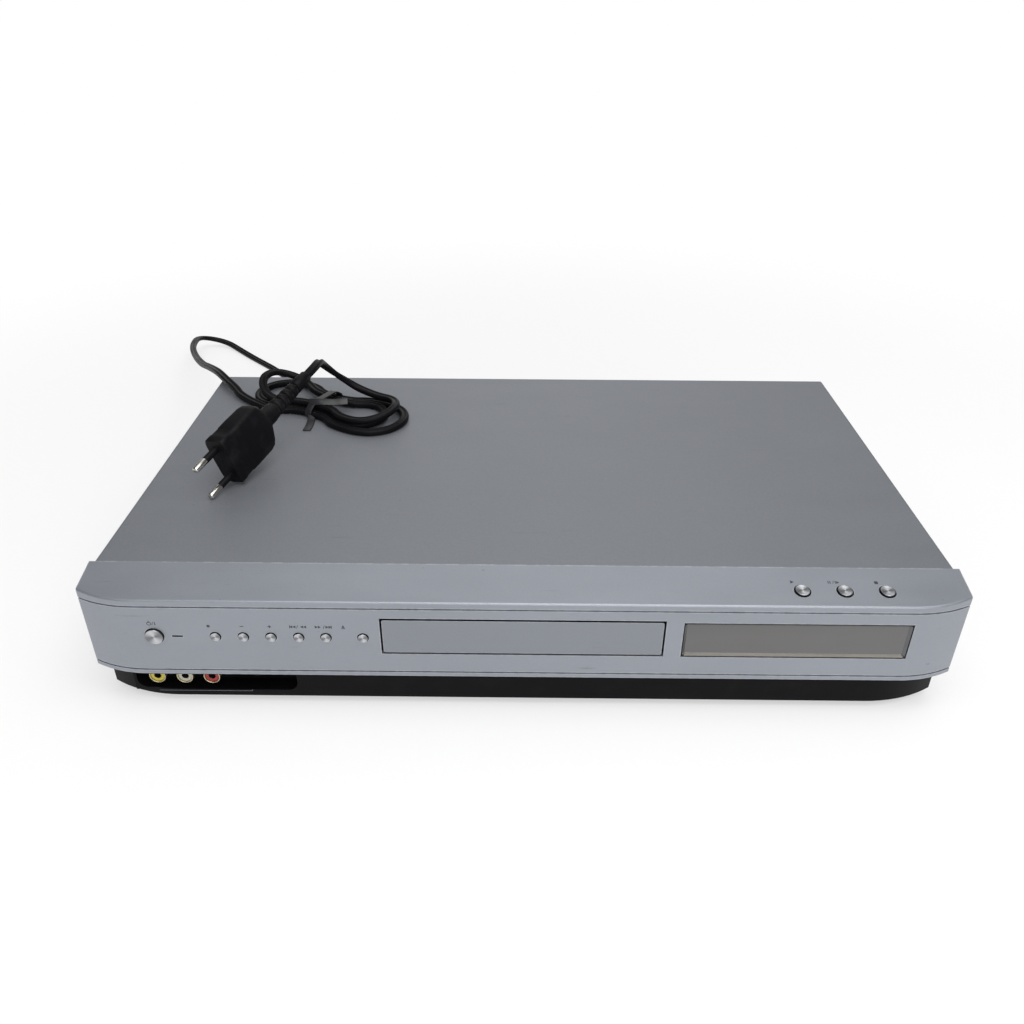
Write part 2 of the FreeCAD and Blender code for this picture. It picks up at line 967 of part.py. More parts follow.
def make_display_board():
    x0, x1 = window_span()
    y0 = front(display_board_depth)
    z0 = display_board_bottom()
    group = [block(x0 - 2, x1 + 4, y0, y0 + board_thick, z0, door_top + 1.5)]
    drop = control_board_depth
    reach = switch_side
    offsets = list(top_from_right.values())
    for offset in offsets:
        group.append(on_brow(switch_shape(drop), right_end - offset))
    span = max(offsets) - min(offsets)
    key_board = block(
        -reach, span + reach, -switch_side / 2 - 1, switch_side / 2 + 1, -drop - board_thick, -drop
    )
    group.append(on_brow(key_board, right_end - max(offsets)))
    keep("display_board", group)


def make_display_tube():
    x0, x1 = window_span()
    middle_x = (x0 + x1) / 2
    middle_z = door_top - window_height / 2
    y1 = front(display_board_depth)
    glass = block(
        middle_x - tube_width / 2,
        middle_x + tube_width / 2,
        y1 - tube_thick,
        y1,
        middle_z - tube_height / 2,
        middle_z + tube_height / 2 - 2,
    )
    keep("display_tube", rounded(glass, 1.0, Y))


# Sockets


def phono_socket(place, axis, length, body_length):
    """A phono socket: a metal barrel, its coloured insulator and its moulded body."""
    barrel = rod(phono_radius, length, place, axis)
    barrel = barrel.cut(rod(phono_radius - phono_wall, length + 2, place - axis, axis))
    insulator = rod(phono_radius - phono_wall, length - 1, place, axis)
    tip = place + axis * (length - 1 - phono_hole_depth)
    insulator = insulator.cut(rod(phono_bore, phono_hole_depth + 1, tip, axis))
    half = phono_body / 2
    side = axis.cross(Z)
    corner = place - side * half - Z * half
    points = [
        corner,
        corner + side * phono_body,
        corner + side * phono_body + Z * phono_body,
        corner + Z * phono_body,
    ]
    body = prism(points, axis * -1, body_length)
    return [barrel, insulator, body]


def make_front_sockets():
    wall_y = front(base_inset + recess_depth + recess_wall)
    length = phono_length + recess_wall
    body = front(jack_board_depth) - wall_y
    names = ("front_video_socket", "front_audio_left_socket", "front_audio_right_socket")
    for name, offset in zip(names, jack_from_left):
        place = vec(left_end + offset, wall_y, jack_height)
        keep(name, phono_socket(place, Y * -1, length, body))
    make_svideo(wall_y, body)
    make_dv(wall_y, body)
    board = block(
        left_end + recess_from_left,
        left_end + recess_from_left + recess_width,
        front(jack_board_depth),
        front(jack_board_depth) + board_thick,
        foot_height + base_wall + 1,
        silver_bottom + 4,
    )
    keep("front_jack_board", board)


def make_svideo(wall_y, body):
    place = vec(left_end + svideo_from_left, wall_y, jack_height)
    length = recess_wall + 1
    ring = rod(svideo_radius, length, place, Y * -1)
    mouth = rod(svideo_bore, length + 1, place - Y * 0, Y * -1)
    key = block(
        place.x - svideo_key,
        place.x + svideo_key,
        wall_y - length,
        wall_y,
        jack_height - svideo_bore,
        jack_height - svideo_bore + svideo_key,
    )
    half = svideo_radius + 1
    base = block(
        place.x - half, place.x + half, wall_y, wall_y + body, jack_height - half, jack_height + half
    )
    well = rod(svideo_bore, 4, place - Y * 1, Y)
    pins = []
    for turn in (35, 145, 215, 325):
        angle = math.radians(turn)
        spot = place + vec(svideo_pin_ring * math.cos(angle), 3, svideo_pin_ring * math.sin(angle))
        pins.append(rod(svideo_pin, 5, spot - Y, Y))
    socket = join([ring.cut(mouth), base.cut(well), key])
    keep("front_svideo_socket", cut(socket, pins))


def make_dv(wall_y, body):
    x = left_end + dv_from_left
    z = jack_height
    half_w = dv_width / 2
    half_h = dv_height / 2
    snout = block(x - half_w, x + half_w, wall_y - recess_wall - 1, wall_y + body, z - half_h, z + half_h)
    mouth = block(
        x - dv_mouth_width / 2,
        x + dv_mouth_width / 2,
        wall_y - recess_wall - 2,
        wall_y + 5,
        z - dv_mouth_height / 2,
        z + dv_mouth_height / 2,
    )
    keep("front_dv_socket", snout.cut(mouth))


def make_scart_sockets():
    group = []
    for height in scart_heights:
        x0 = scart_place - scart_width / 2
        x1 = scart_place + scart_width / 2
        z0 = height - scart_height / 2
        z1 = height + scart_height / 2
        outer = block(x0, x1, panel_outer - scart_depth, panel_outer + 2 * sheet, z0, z1)
        outer = rounded(outer, 1.0, Y)
        inner = block(
            x0 + sheet, x1 - sheet, panel_outer - scart_mouth_depth, panel_outer + 3 * sheet, z0 + sheet, z1 - sheet
        )
        core = block(
            x0 + 3 * sheet,
            x1 - 3 * sheet,
            panel_outer - scart_mouth_depth,
            panel_outer + sheet,
            z0 + scart_core_drop,
            z1 - scart_core_drop,
        )
        slots = []
        for index in range(scart_slots):
            x = scart_place + (index - (scart_slots - 1) / 2) * scart_slot_pitch
            slots.append(
                block(
                    x - scart_slot_width / 2,
                    x + scart_slot_width / 2,
                    panel_outer - scart_mouth_depth + 2 * sheet,
                    panel_outer + 3 * sheet,
                    height - scart_slot_height / 2,
                    height + scart_slot_height / 2,
                )
            )
        group.append(join([outer.cut(inner), cut(core, slots)]))
    keep("scart_sockets", group)


def make_rear_jacks():
    group = []
    for x in rear_jack_places:
        for z in rear_jack_heights:
            group += phono_socket(vec(x, panel_inner, z), Y, phono_length + sheet, phono_body)
    pitch = rear_jack_places[0] - phono_body / 2
    last = rear_jack_places[-1] + phono_body / 2
    carrier = block(
        pitch,
        last,
        panel_inner - phono_body - board_thick,
        panel_inner - phono_body,
        pcb_top,
        max(rear_jack_heights) + phono_body / 2,
    )
    keep("rear_jack_block", group + [carrier])


def make_tuner():
    y1 = panel_inner
    x0 = tuner_left
    z0 = pcb_top + 1
    can = block(x0, x0 + tuner_width, y1 - tuner_depth, y1, z0, z0 + tuner_height)
    legs = []
    for x in (x0 + tuner_leg_inset, x0 + tuner_width - tuner_leg_inset):
        for y in (y1 - tuner_depth + tuner_leg_inset, y1 - tuner_leg_inset):
            legs.append(rod(tuner_leg_radius, 2, vec(x, y, pcb_top), Z))
    shape = join([can] + legs)
    length = rear_y + aerial_reach - y1
    for x, z in aerial_places:
        barrel = rod(aerial_radius, length, vec(x, y1, z), Y)
        shape = shape.fuse(barrel)
    tools = []
    for x, z in aerial_places:
        end = rear_y + aerial_reach
        tools.append(rod(aerial_radius - aerial_wall, aerial_depth + 1, vec(x, end - aerial_depth, z), Y))
    shape = cut(shape, tools)
    cores = []
    for x, z in aerial_places:
        end = rear_y + aerial_reach
        core_radius = aerial_radius - aerial_wall - aerial_core_gap
        core = rod(core_radius, aerial_depth - 1, vec(x, end - aerial_depth, z), Y)
        cores.append(core.cut(rod(aerial_bore, aerial_bore_depth, vec(x, end - aerial_bore_depth, z), Y)))
    keep("tuner_module", join([shape] + cores))


# Boards


def boxes_on(board_z, items):
    """Simple parts standing on a board: each is x, y, width, depth and height."""
    return [
        block(x - w / 2, x + w / 2, y - d / 2, y + d / 2, board_z, board_z + h)
        for x, y, w, d, h in items
    ]


def cans_on(board_z, radius, height, places):
    group = []
    for x, y in places:
        group.append(rod(radius, height, vec(x, y, board_z), Z))
    return group


def heat_sink(x, y, z, width, height, fins):
    """An upright plate with fins on one face."""
    plate = block(x, x + 2, y - width / 2, y + width / 2, z, z + height)
    parts = [plate]
    for index in range(fins):
        fin_y = y - width / 2 + index * (width - 1.2) / (fins - 1)
        parts.append(block(x - 8, x + 0.5, fin_y, fin_y + 1.2, z, z + height))
    return join(parts)


def make_main_board():
    x0 = main_board_left
    x1 = right_end - main_board_right
    y0 = front(main_board_front_depth)
    y1 = panel_inner - 3
    wing = block(x0, x1, y0, y1, board_height, pcb_top)
    strip = block(tuner_left - 4, x0, front(rear_strip_depth), y1, board_height, pcb_top)
    mid_x = (x0 + x1) / 2
    mid_y = (y0 + y1) / 2
    chips = boxes_on(
        pcb_top,
        [
            (mid_x - 10, mid_y - 20, 28, 28, 2.2),
            (mid_x + 30, mid_y - 24, 12, 22, 1.4),
            (mid_x + 30, mid_y + 6, 12, 22, 1.4),
            (mid_x - 14, mid_y + 26, 22, 22, 2.0),
            (mid_x - 36, y0 + 16, 8, 40, 9.0),
            (mid_x + 20, y0 + 14, 30, 6, 8.0),
        ],
    )
    cans = cans_on(
        pcb_top,
        4.0,
        12.0,
        [(mid_x + 52, mid_y - 40 + 14 * index) for index in range(5)],
    )
    sink = heat_sink(mid_x + 14, mid_y + 58, pcb_top, 34, 22, 8)
    keep("main_board", [wing, strip] + chips + cans + [sink])


def make_power_board():
    x0 = left_end + power_board_from_left[0]
    x1 = left_end + power_board_from_left[1]
    y0 = front(power_board_depths[0])
    y1 = front(power_board_depths[1])
    pcb = block(x0, x1, y0, y1, board_height, pcb_top)
    mid_x = (x0 + x1) / 2
    mid_y = (y0 + y1) / 2
    group = [pcb]
    group += boxes_on(
        pcb_top,
        [
            (mid_x + 4, mid_y - 8, 34, 30, 30.0),
            (mid_x - 34, mid_y + 34, 18, 14, 16.0),
            (cord_exit_x, y1 - 8, 14, 10, 24.0),
            (mid_x + 34, y0 + 14, 8, 26, 8.0),
            (mid_x - 30, y0 + 14, 12, 12, 14.0),
        ],
    )
    group += cans_on(pcb_top, 11.0, 30.0, [(mid_x - 32, mid_y)])
    group += cans_on(
        pcb_top, 5.0, 20.0, [(mid_x + 38, mid_y - 30 + 16 * index) for index in range(4)]
    )
    group.append(heat_sink(mid_x - 44, mid_y - 40, pcb_top, 36, 26, 8))
    group.append(heat_sink(mid_x + 10, mid_y - 52, pcb_top, 30, 26, 7))
    keep("power_board", group)


def make_fan():
    y1 = panel_inner
    y0 = y1 - fan_thick
    half = fan_side / 2
    frame = block(fan_place - half, fan_place + half, y0, y1, fan_height - half, fan_height + half)
    frame = rounded(frame, 2.0, Y)
    centre = vec(fan_place, y0 - 1, fan_height)
    tunnel = rod(fan_bore, fan_thick + 2, centre, Y)
    frame = frame.cut(tunnel)
    hub = rod(fan_hub_radius, 2.0, vec(fan_place, y0, fan_height), Y)
    arms = []
    for turn in range(3):
        arm = block(0, fan_bore + 0.5, -1.2, 1.2, 0, 2.0)
        arm.rotate(vec(0, 0, 0), X, -90)
        arm.rotate(vec(0, 0, 0), Y, 30 + 120 * turn)
        arm.translate(vec(fan_place, y0, fan_height))
        arms.append(arm)
    pin = rod(gear_shaft_radius, fan_thick - 2, vec(fan_place, y0, fan_height), Y)
    keep("fan_housing", join([frame, hub, pin] + arms))
    rotor_y = y0 + 2.5
    length = y1 - 0.5 - rotor_y
    hub = rod(fan_hub_radius, length, vec(fan_place, rotor_y, fan_height), Y)
    blades = []
    for index in range(fan_blades):
        blade = block(
            fan_hub_radius - 1, fan_rotor_radius, 0.4, length - 0.4, -blade_thick / 2, blade_thick / 2
        )
        blade.rotate(vec(fan_hub_radius, length / 2, 0), X, 38)
        blade = blade.common(block(0, fan_bore, 0.2, length - 0.2, -6, 6))
        blade.rotate(vec(0, 0, 0), Y, 360.0 * index / fan_blades)
        blade.translate(vec(fan_place, rotor_y, fan_height))
        blades.append(blade)
    rotor = join([hub] + blades)
    reach = rod(fan_rotor_radius, length, vec(fan_place, rotor_y, fan_height), Y)
    rotor = rotor.common(reach)
    bore = rod(gear_shaft_radius + running_gap, fan_thick, vec(fan_place, rotor_y - 1, fan_height), Y)
    keep("fan_rotor", rotor.cut(bore))


# Loader


def make_disc_tray():
    half = tray_width / 2
    y0 = front(fascia_wall)
    y1 = front(tray_rear_depth)
    slab = block(-half, half, y0, y1, tray_bottom, tray_top)
    centre = vec(0, spindle_y, tray_top - recess_drop)
    tools = [
        rod(disc_radius + disc_gap, recess_drop + 1, centre, Z),
        rod(small_disc_radius, recess_drop + 4, vec(0, spindle_y, tray_top - small_recess_drop), Z),
        rod(tray_slot / 2, overall_height, vec(0, spindle_y, 0), Z),
        block(-tray_slot / 2, tray_slot / 2, spindle_y, y1 + 1, 0, overall_height),
    ]
    tray = cut(slab, tools)
    keep("disc_tray", join([tray, rack(y0 + 12, y1)]))


def rack(y0, y1):
    """The toothed rail under the tray; its teeth point to the gear."""
    pitch = math.pi * gear_module
    root_x = rack_pitch_x - tooth_root * gear_module
    tip_x = rack_pitch_x + tooth_height * gear_module
    rail = block(rack_back_x, root_x, y0, y1, gear_bottom, tray_bottom + 0.5)
    half = pitch / 4 - tooth_thinning / 2
    lean = math.tan(pressure_angle)
    teeth = []
    first = math.ceil((y0 - gear_y) / pitch - 0.5) + 1
    last = math.floor((y1 - gear_y) / pitch - 0.5) - 1
    for index in range(first, last + 1):
        y = gear_y + (index + 0.5) * pitch
        wide = half + tooth_root * gear_module * lean
        thin = half - tooth_height * gear_module * lean
        points = [
            vec(root_x - 0.5, y - wide, gear_bottom),
            vec(root_x, y - wide, gear_bottom),
            vec(tip_x, y - thin, gear_bottom),
            vec(tip_x, y + thin, gear_bottom),
            vec(root_x, y + wide, gear_bottom),
            vec(root_x - 0.5, y + wide, gear_bottom),
        ]
        teeth.append(prism(points, Z, tray_bottom + 0.5 - gear_bottom))
    return join([rail] + teeth)


def gear_outline(teeth, centre, first_angle):
    """An involute outline with radial feet; one tooth is centred on first_angle."""
    pitch_r = gear_module * teeth / 2
    base_r = pitch_r * math.cos(pressure_angle)
    tip_r = pitch_r + tooth_height * gear_module
    root_r = pitch_r - tooth_root * gear_module

    def involute(angle):
        return math.tan(angle) - angle

    def half_angle(radius):
        lean = math.acos(min(1.0, base_r / radius))
        wide = math.pi / (2 * teeth) - tooth_thinning / (2 * pitch_r)
        return wide + involute(pressure_angle) - involute(lean)

    def point(radius, angle):
        return centre + vec(radius * math.cos(angle), radius * math.sin(angle), 0)

    start_r = max(base_r, root_r) + 0.001
    middle_r = (start_r + tip_r) / 2
    edges = []
    step = 2 * math.pi / teeth
    for index in range(teeth):
        middle = first_angle + index * step
        foot = half_angle(start_r)
        waist = half_angle(middle_r)
        tip = half_angle(tip_r)
        a = point(root_r, middle - foot)
        b = point(start_r, middle - foot)
        c = point(middle_r, middle - waist)
        d = point(tip_r, middle - tip)
        top = point(tip_r, middle)
        e = point(tip_r, middle + tip)
        f = point(middle_r, middle + waist)
        g = point(start_r, middle + foot)
        h = point(root_r, middle + foot)
        valley = point(root_r, middle + step / 2)
        following = point(root_r, middle + step - foot)
        edges += [
            Part.LineSegment(a, b).toShape(),
            Part.Arc(b, c, d).toShape(),
            Part.Arc(d, top, e).toShape(),
            Part.Arc(e, f, g).toShape(),
            Part.LineSegment(g, h).toShape(),
            Part.Arc(h, valley, following).toShape(),
        ]
    return Part.Face(Part.Wire(edges))


def make_gears():
    height = gear_top - gear_bottom
    bore = gear_shaft_radius + running_gap
    centre = vec(tray_gear_x, gear_y, gear_bottom)
    gear = gear_outline(tray_gear_teeth, centre, math.pi).extrude(Z * height)
    keep("tray_gear", gear.cut(rod(bore, height + 2, centre - Z, Z)))
    centre = vec(pinion_x, gear_y, pulley_top)
    gap_centred = math.pi + math.pi / pinion_teeth
    pinion = gear_outline(pinion_teeth, centre, gap_centred).extrude(Z * (gear_top - pulley_top))
    pulley = grooved_pulley(pinion_x, big_pulley_radius)
    hole = rod(bore, gear_top, vec(pinion_x, gear_y, pulley_bottom - 1), Z)
    keep("reduction_pulley", join([pinion, pulley]).cut(hole))
    pulley = grooved_pulley(motor_x, small_pulley_radius)
    shaft_z = beam_top - loading_motor_height + 2
    shaft = rod(motor_shaft_radius, pulley_bottom - shaft_z + 1, vec(motor_x, gear_y, shaft_z), Z)
    keep("motor_pulley", join([pulley, shaft]))


def belt_levels():
    middle = (pulley_bottom + pulley_top) / 2
    return middle - belt_side / 2, middle + belt_side / 2


def grooved_pulley(x, radius):
    low, high = belt_levels()
    floor = radius - running_gap
    disc = rod(floor + pulley_lip, pulley_top - pulley_bottom, vec(x, gear_y, pulley_bottom), Z)
    z = low - running_gap
    ring = rod(radius + 4, high - low + 2 * running_gap, vec(x, gear_y, z), Z)
    ring = ring.cut(rod(floor, overall_height, vec(x, gear_y, 0), Z))
    return disc.cut(ring)


def belt_loop(grow, z):
    """The plan of the belt round both pulleys, as a face."""
    big = big_pulley_radius + grow
    small = small_pulley_radius + grow
    lean = math.asin((big - small) / pulley_spacing)
    dx = math.sin(lean)
    dy = math.cos(lean)
    a = vec(pinion_x + big * dx, gear_y + big * dy, z)
    b = vec(motor_x + small * dx, gear_y + small * dy, z)
    c = vec(motor_x + small * dx, gear_y - small * dy, z)
    d = vec(pinion_x + big * dx, gear_y - big * dy, z)
    edges = [
        Part.LineSegment(a, b).toShape(),
        Part.Arc(b, vec(motor_x + small, gear_y, z), c).toShape(),
        Part.LineSegment(c, d).toShape(),
        Part.Arc(d, vec(pinion_x - big, gear_y, z), a).toShape(),
    ]
    return Part.Face(Part.Wire(edges))


def make_belt():
    low, high = belt_levels()
    ring = belt_loop(belt_side, low).cut(belt_loop(0, low))
    keep("loading_belt", ring.extrude(Z * (high - low)))


def make_loading_motor():
    z0 = beam_top - loading_motor_height
    can = rod(loading_motor_radius, loading_motor_height - slip, vec(motor_x, gear_y, z0), Z)
    bore = rod(motor_shaft_radius + running_gap, overall_height, vec(motor_x, gear_y, z0 + 1.5), Z)
    keep("loading_motor", can.cut(bore))


def make_tray_door():
    half = door_width / 2
    plate = block(-half, half, front_y, front(fascia_wall), door_bottom, door_top)
    plate = rounded(plate, 1.0, Y)
    rib_y = front(fascia_wall) - 0.5
    clips = []
    for x in (-50.0, 50.0):
        clips.append(block(x - 6, x + 6, rib_y, rib_y + 6.5, tray_bottom - 3.5, tray_bottom))
    keep("tray_door", join([plate] + clips))


def frame_half():
    return tray_width / 2 + frame_gap


def frame_outer():
    return frame_half() + frame_wall


def make_drive_frame():
    inner = frame_half()
    outer = frame_outer()
    y0 = front(frame_front_depth)
    y1 = front(frame_rear_depth)
    beam_back = y0 + beam_depth
    parts = []
    for side in (-1, 1):
        low, high = sorted((side * inner, side * outer))
        parts.append(block(low, high, y0, y1, frame_bottom, frame_top))
        ledge = sorted((side * (inner - ledge_width), side * (inner + 1)))
        parts.append(block(ledge[0], ledge[1], y0, y1, ledge_top - 5, ledge_top))
        tab = sorted((side * (inner - tab_width), side * (inner + 1)))
        for depth in tab_depths:
            parts.append(
                block(
                    tab[0],
                    tab[1],
                    front(depth),
                    front(depth + tab_length),
                    tray_top + frame_gap,
                    frame_top,
                )
            )
        for depth in leg_depths:
            x = side * (outer - leg_radius)
            leg = rod(leg_radius, frame_bottom + 2 - floor_top, vec(x, front(depth), floor_top), Z)
            parts.append(leg)
        lug_x = sorted((side * (traverse_width / 2 + 1), side * (inner + 1)))
        parts.append(
            block(lug_x[0], lug_x[1], hinge_y - 6, hinge_y + 6, hinge_height - 6, hinge_height + 5)
        )
    parts.append(block(-outer, outer, y0, beam_back, frame_bottom, beam_top))
    rear_beam = front(tray_rear_depth) + 1
    parts.append(block(-outer, outer, rear_beam, y1, frame_bottom, frame_top))
    parts += cam_guide(beam_back)
    frame = join(parts)
    cam_room = cam_guide_slot()
    motor_z = beam_top - loading_motor_height
    tools = [
        rod(loading_motor_radius + running_gap, overall_height, vec(motor_x, gear_y, motor_z), Z),
        rod(loading_motor_radius - 3, overall_height, vec(motor_x, gear_y, 0), Z),
        cam_room,
    ]
    for side in (-1, 1):
        start = vec(side * traverse_width / 2, hinge_y, hinge_height)
        bore = rod(hinge_pin_radius + running_gap, hinge_pin_length + 1, start, X * side)
        tools.append(bore)
    frame = cut(frame, tools)
    shafts = []
    for x in (tray_gear_x, pinion_x):
        top = gear_top - slip
        shafts.append(rod(gear_shaft_radius, top - beam_top + 1, vec(x, gear_y, beam_top - 1), Z))
    boss = rod(
        gear_boss_radius, gear_bottom - slip - beam_top, vec(tray_gear_x, gear_y, beam_top), Z
    )
    keep("drive_frame", join([frame, boss] + shafts))


def cam_guide(beam_back):
    """The shelf below the front beam that the cam slider runs in."""
    back = front(cam_depth + cam_plate + 3)
    low = frame_bottom - 8
    shelf = block(-46, 46, beam_back - 3, back, low, low + 6)
    web = block(-46, 46, beam_back - 3, beam_back, low, frame_bottom + 1)
    return [shelf, web]


def cam_guide_slot():
    y0 = front(cam_depth) - cam_gap
    y1 = front(cam_depth + cam_plate) + cam_gap
    return block(-46.5, 46.5, y0, y1, frame_bottom - 6, frame_bottom + 8)


def make_cam_slider():
    y0 = front(cam_depth)
    low = frame_bottom - 6 + cam_gap
    plate = block(-26, 10, y0, y0 + cam_plate, low, hinge_height + 6)
    width = cam_pin_radius + cam_gap
    rise = math.atan2(cam_drop, cam_travel)
    along = vec(-math.cos(rise), 0, -math.sin(rise))
    across = vec(-math.sin(rise), 0, math.cos(rise))
    high = vec(0, y0 - 1, hinge_height)
    end = high + along * math.hypot(cam_travel, cam_drop)
    points = [high + across * width, end + across * width, end - across * width, high - across * width]
    tools = [
        prism(points, Y, cam_plate + 2),
        rod(width, cam_plate + 2, high, Y),
        rod(width, cam_plate + 2, end, Y),
    ]
    keep("cam_slider", cut(plate, tools))


def make_traverse_frame():
    half = traverse_width / 2
    wall = traverse_plate
    y0 = front(traverse_front_depth)
    y1 = hinge_y - 5
    top = traverse_floor + traverse_rise
    floor = block(-half, half, y0, y1, traverse_floor, traverse_floor + wall)
    parts = [floor]
    for side in (-1, 1):
        low, high = sorted((side * half, side * (half - wall)))
        parts.append(block(low, high, y0, hinge_y + 3, traverse_floor - 2, top))
        start = vec(side * (half - 1), hinge_y, hinge_height)
        parts.append(rod(hinge_pin_radius, hinge_pin_length + 1, start, X * side))
    parts.append(block(-half, half, y0, y0 + wall, traverse_floor, top))
    parts.append(block(-half, half, y1 - wall, y1, traverse_floor, top))
    pin_start = front(cam_depth - 1)
    pin = rod(cam_pin_radius, y0 - pin_start + 1, vec(0, pin_start, hinge_height), Y)
    parts.append(pin)
    for x in rod_places + (screw_place,):
        parts.append(
            block(x - 3.2, x + 3.2, front(rod_front_depth), front(rod_front_depth + 3), traverse_floor, top)
        )
    frame = join(parts)
    opening = block(-20, 22, front(rod_front_depth + 16), y1 - 8, 0, overall_height)
    tools = [opening]
    length = y1 - front(rod_front_depth)
    for x in rod_places:
        place = vec(x, front(rod_front_depth) + 1, rod_height)
        tools.append(rod(rod_radius, length, place, Y))
    place = vec(screw_place, front(rod_front_depth) + 1, rod_height)
    tools.append(rod(rod_radius + running_gap, 4, place, Y))
    motor_y = y1 - wall - sled_motor_length
    tools.append(rod(sled_motor_radius, sled_motor_length, vec(screw_place, motor_y, rod_height), Y))
    keep("traverse_frame", cut(frame, tools))


def make_guide_rods():
    start = front(rod_front_depth) + 1
    length = hinge_y - 5 - start
    rods = [rod(rod_radius, length, vec(x, start, rod_height), Y) for x in rod_places]
    keep("guide_rods", rods)


def sled_motor_y():
    return hinge_y - 5 - traverse_plate - sled_motor_length


def make_sled():
    y = sled_motor_y()
    can = rod(sled_motor_radius, sled_motor_length, vec(screw_place, y, rod_height), Y)
    bore = rod(motor_shaft_radius + running_gap, 8, vec(screw_place, y - 1, rod_height), Y)
    keep("sled_motor", can.cut(bore))
    start = front(rod_front_depth) + 1 + running_gap
    thread = rod(rod_radius, y - slip - start, vec(screw_place, start, rod_height), Y)
    shaft = rod(motor_shaft_radius, 7, vec(screw_place, y - slip - 1, rod_height), Y)
    keep("lead_screw", join([thread, shaft]))


def make_pickup():
    lens_y = spindle_y + pickup_inner_radius
    y0 = lens_y - lens_from_front
    y1 = y0 + pickup_length
    z0 = traverse_floor + traverse_plate + 1.0
    body = block(-pickup_left, pickup_right, y0, y1, z0, pickup_top)
    turret_height = lens_top - turret_drop - pickup_top + 1
    turret = rod(turret_radius, turret_height, vec(0, lens_y, pickup_top - 1), Z)
    parts = [body, turret]
    left, right = rod_places
    low = rod_height - bearing_half
    high = rod_height + bearing_half
    parts.append(block(left - bearing_wall, 1 - pickup_left, y0, y1, low, high))
    parts.append(block(pickup_right - 1, right + bearing_wall, y0, y1, low, high))
    parts.append(block(pickup_right, screw_place + bearing_half, y0, y0 + nut_length, low, high))
    shape = join(parts)
    tools = []
    length = pickup_length + 2
    for x in rod_places:
        tools.append(rod(rod_radius + running_gap, length, vec(x, y0 - 1, rod_height), Y))
    tools.append(rod(rod_radius + running_gap, nut_length + 3, vec(screw_place, y0 - 1, rod_height), Y))
    lens_z = lens_top - lens_thick
    tools.append(rod(lens_radius, 4, vec(0, lens_y, lens_z), Z))
    shape = cut(shape, tools)
    lens = rod(lens_radius, lens_top - lens_z, vec(0, lens_y, lens_z), Z)
    rim = [edge for edge in lens.Edges if edge.Closed and edge.CenterOfMass.z > lens_top - 0.1]
    lens = lens.makeFillet(lens_round, rim)
    keep("pickup", [shape, lens])


def make_spindle():
    motor_z = traverse_floor + traverse_plate
    half = motor_plate_half
    plate_top = motor_z + motor_plate_thick
    plate = block(-half, half, spindle_y - half, spindle_y + half - 1, motor_z, plate_top)
    can = rod(spindle_motor_radius, spindle_motor_top - motor_z, vec(0, spindle_y, motor_z), Z)
    bore = rod(motor_shaft_radius + running_gap, overall_height, vec(0, spindle_y, plate_top), Z)
    keep("spindle_motor", join([plate, can]).cut(bore))
    bottom = disc_plane - turntable_thick
    table = rod(turntable_radius, turntable_thick, vec(0, spindle_y, bottom), Z)
    hub_bottom = spindle_motor_top + turntable_hub_gap
    hub = rod(turntable_hub_radius, bottom - hub_bottom + 1, vec(0, spindle_y, hub_bottom), Z)
    boss_radius = disc_hole_radius - spindle_boss_gap
    boss = rod(boss_radius, spindle_boss_height, vec(0, spindle_y, disc_plane), Z)
    rim = [edge for edge in boss.Edges if edge.Closed and edge.CenterOfMass.z > disc_plane + 1]
    boss = boss.makeChamfer(spindle_boss_chamfer, rim)
    shaft_bottom = spindle_motor_top - spindle_shaft_drop
    shaft = rod(motor_shaft_radius, spindle_shaft_drop + 2, vec(0, spindle_y, shaft_bottom), Z)
    keep("turntable", join([table, hub, boss, shaft]))


def make_clamp():
    outer = frame_outer()
    y0 = spindle_y - bridge_width / 2
    y1 = spindle_y + bridge_width / 2
    plate = block(-outer, outer, y0, y1, frame_top, frame_top + bridge_thick)
    hole = rod(clamper_neck + bridge_hole_gap, 4, vec(0, spindle_y, frame_top - 1), Z)
    keep("clamp_bridge", plate.cut(hole))
    puck = rod(clamper_radius, puck_thick, vec(0, spindle_y, clamper_bottom), Z)
    neck = rod(clamper_neck, clamper_neck_length, vec(0, spindle_y, clamper_bottom + 2), Z)
    cap_bottom = frame_top + bridge_thick + frame_gap
    cap = rod(clamper_neck + clamper_cap_grow, clamper_cap_thick, vec(0, spindle_y, cap_bottom), Z)
    well = rod(disc_hole_radius + clamper_well_gap, puck_thick, vec(0, spindle_y, clamper_bottom - 1), Z)
    keep("clamper", join([puck, neck, cap]).cut(well))


# Mains lead


def cord_points():
    """The free lead from the case to its hank: x, depth from the front face, height."""
    table = cord_radius + cord_clearance
    return [
        (cord_exit_x, exit_depth, cord_exit_z),
        (cord_exit_x, 297.0, cord_exit_z),
        (-166.5, 319.0, 25.5),
        (-172.0, 345.0, 15.5),
        (-182.0, 374.0, 6.5),
        (-203.0, 407.0, table),
        (-228.0, 437.0, table),
        (-242.5, 452.0, table),
        (-256.5, 467.5, table),
        (-271.5, 483.0, 3.3),
        (-286.0, 498.5, 5.5),
        (-303.4, 497.6, 10.5),
        (-313.5, 483.3, 15.0),
        (-305.5, 455.0, 20.0),
        (-297.5, 430.6, 25.0),
        (-287.5, 404.0, 31.0),
        (-275.5, 376.0, 38.0),
        (-261.5, 345.0, 47.5),
        (-247.8, 314.5, 58.5),
        (-236.0, 291.0, 67.0),
        (-225.0, 270.5, 74.0),
        (-214.8, 253.0, 80.4),
        (-204.6, 236.5, 80.4),
        (-195.5, 225.0, 79.5),
        (-190.0, 216.5, 77.5),
    ]


def hank_axes():
    along = vec(math.cos(hank_angle), math.sin(hank_angle), 0)
    across = vec(-math.sin(hank_angle), math.cos(hank_angle), 0)
    return along, across


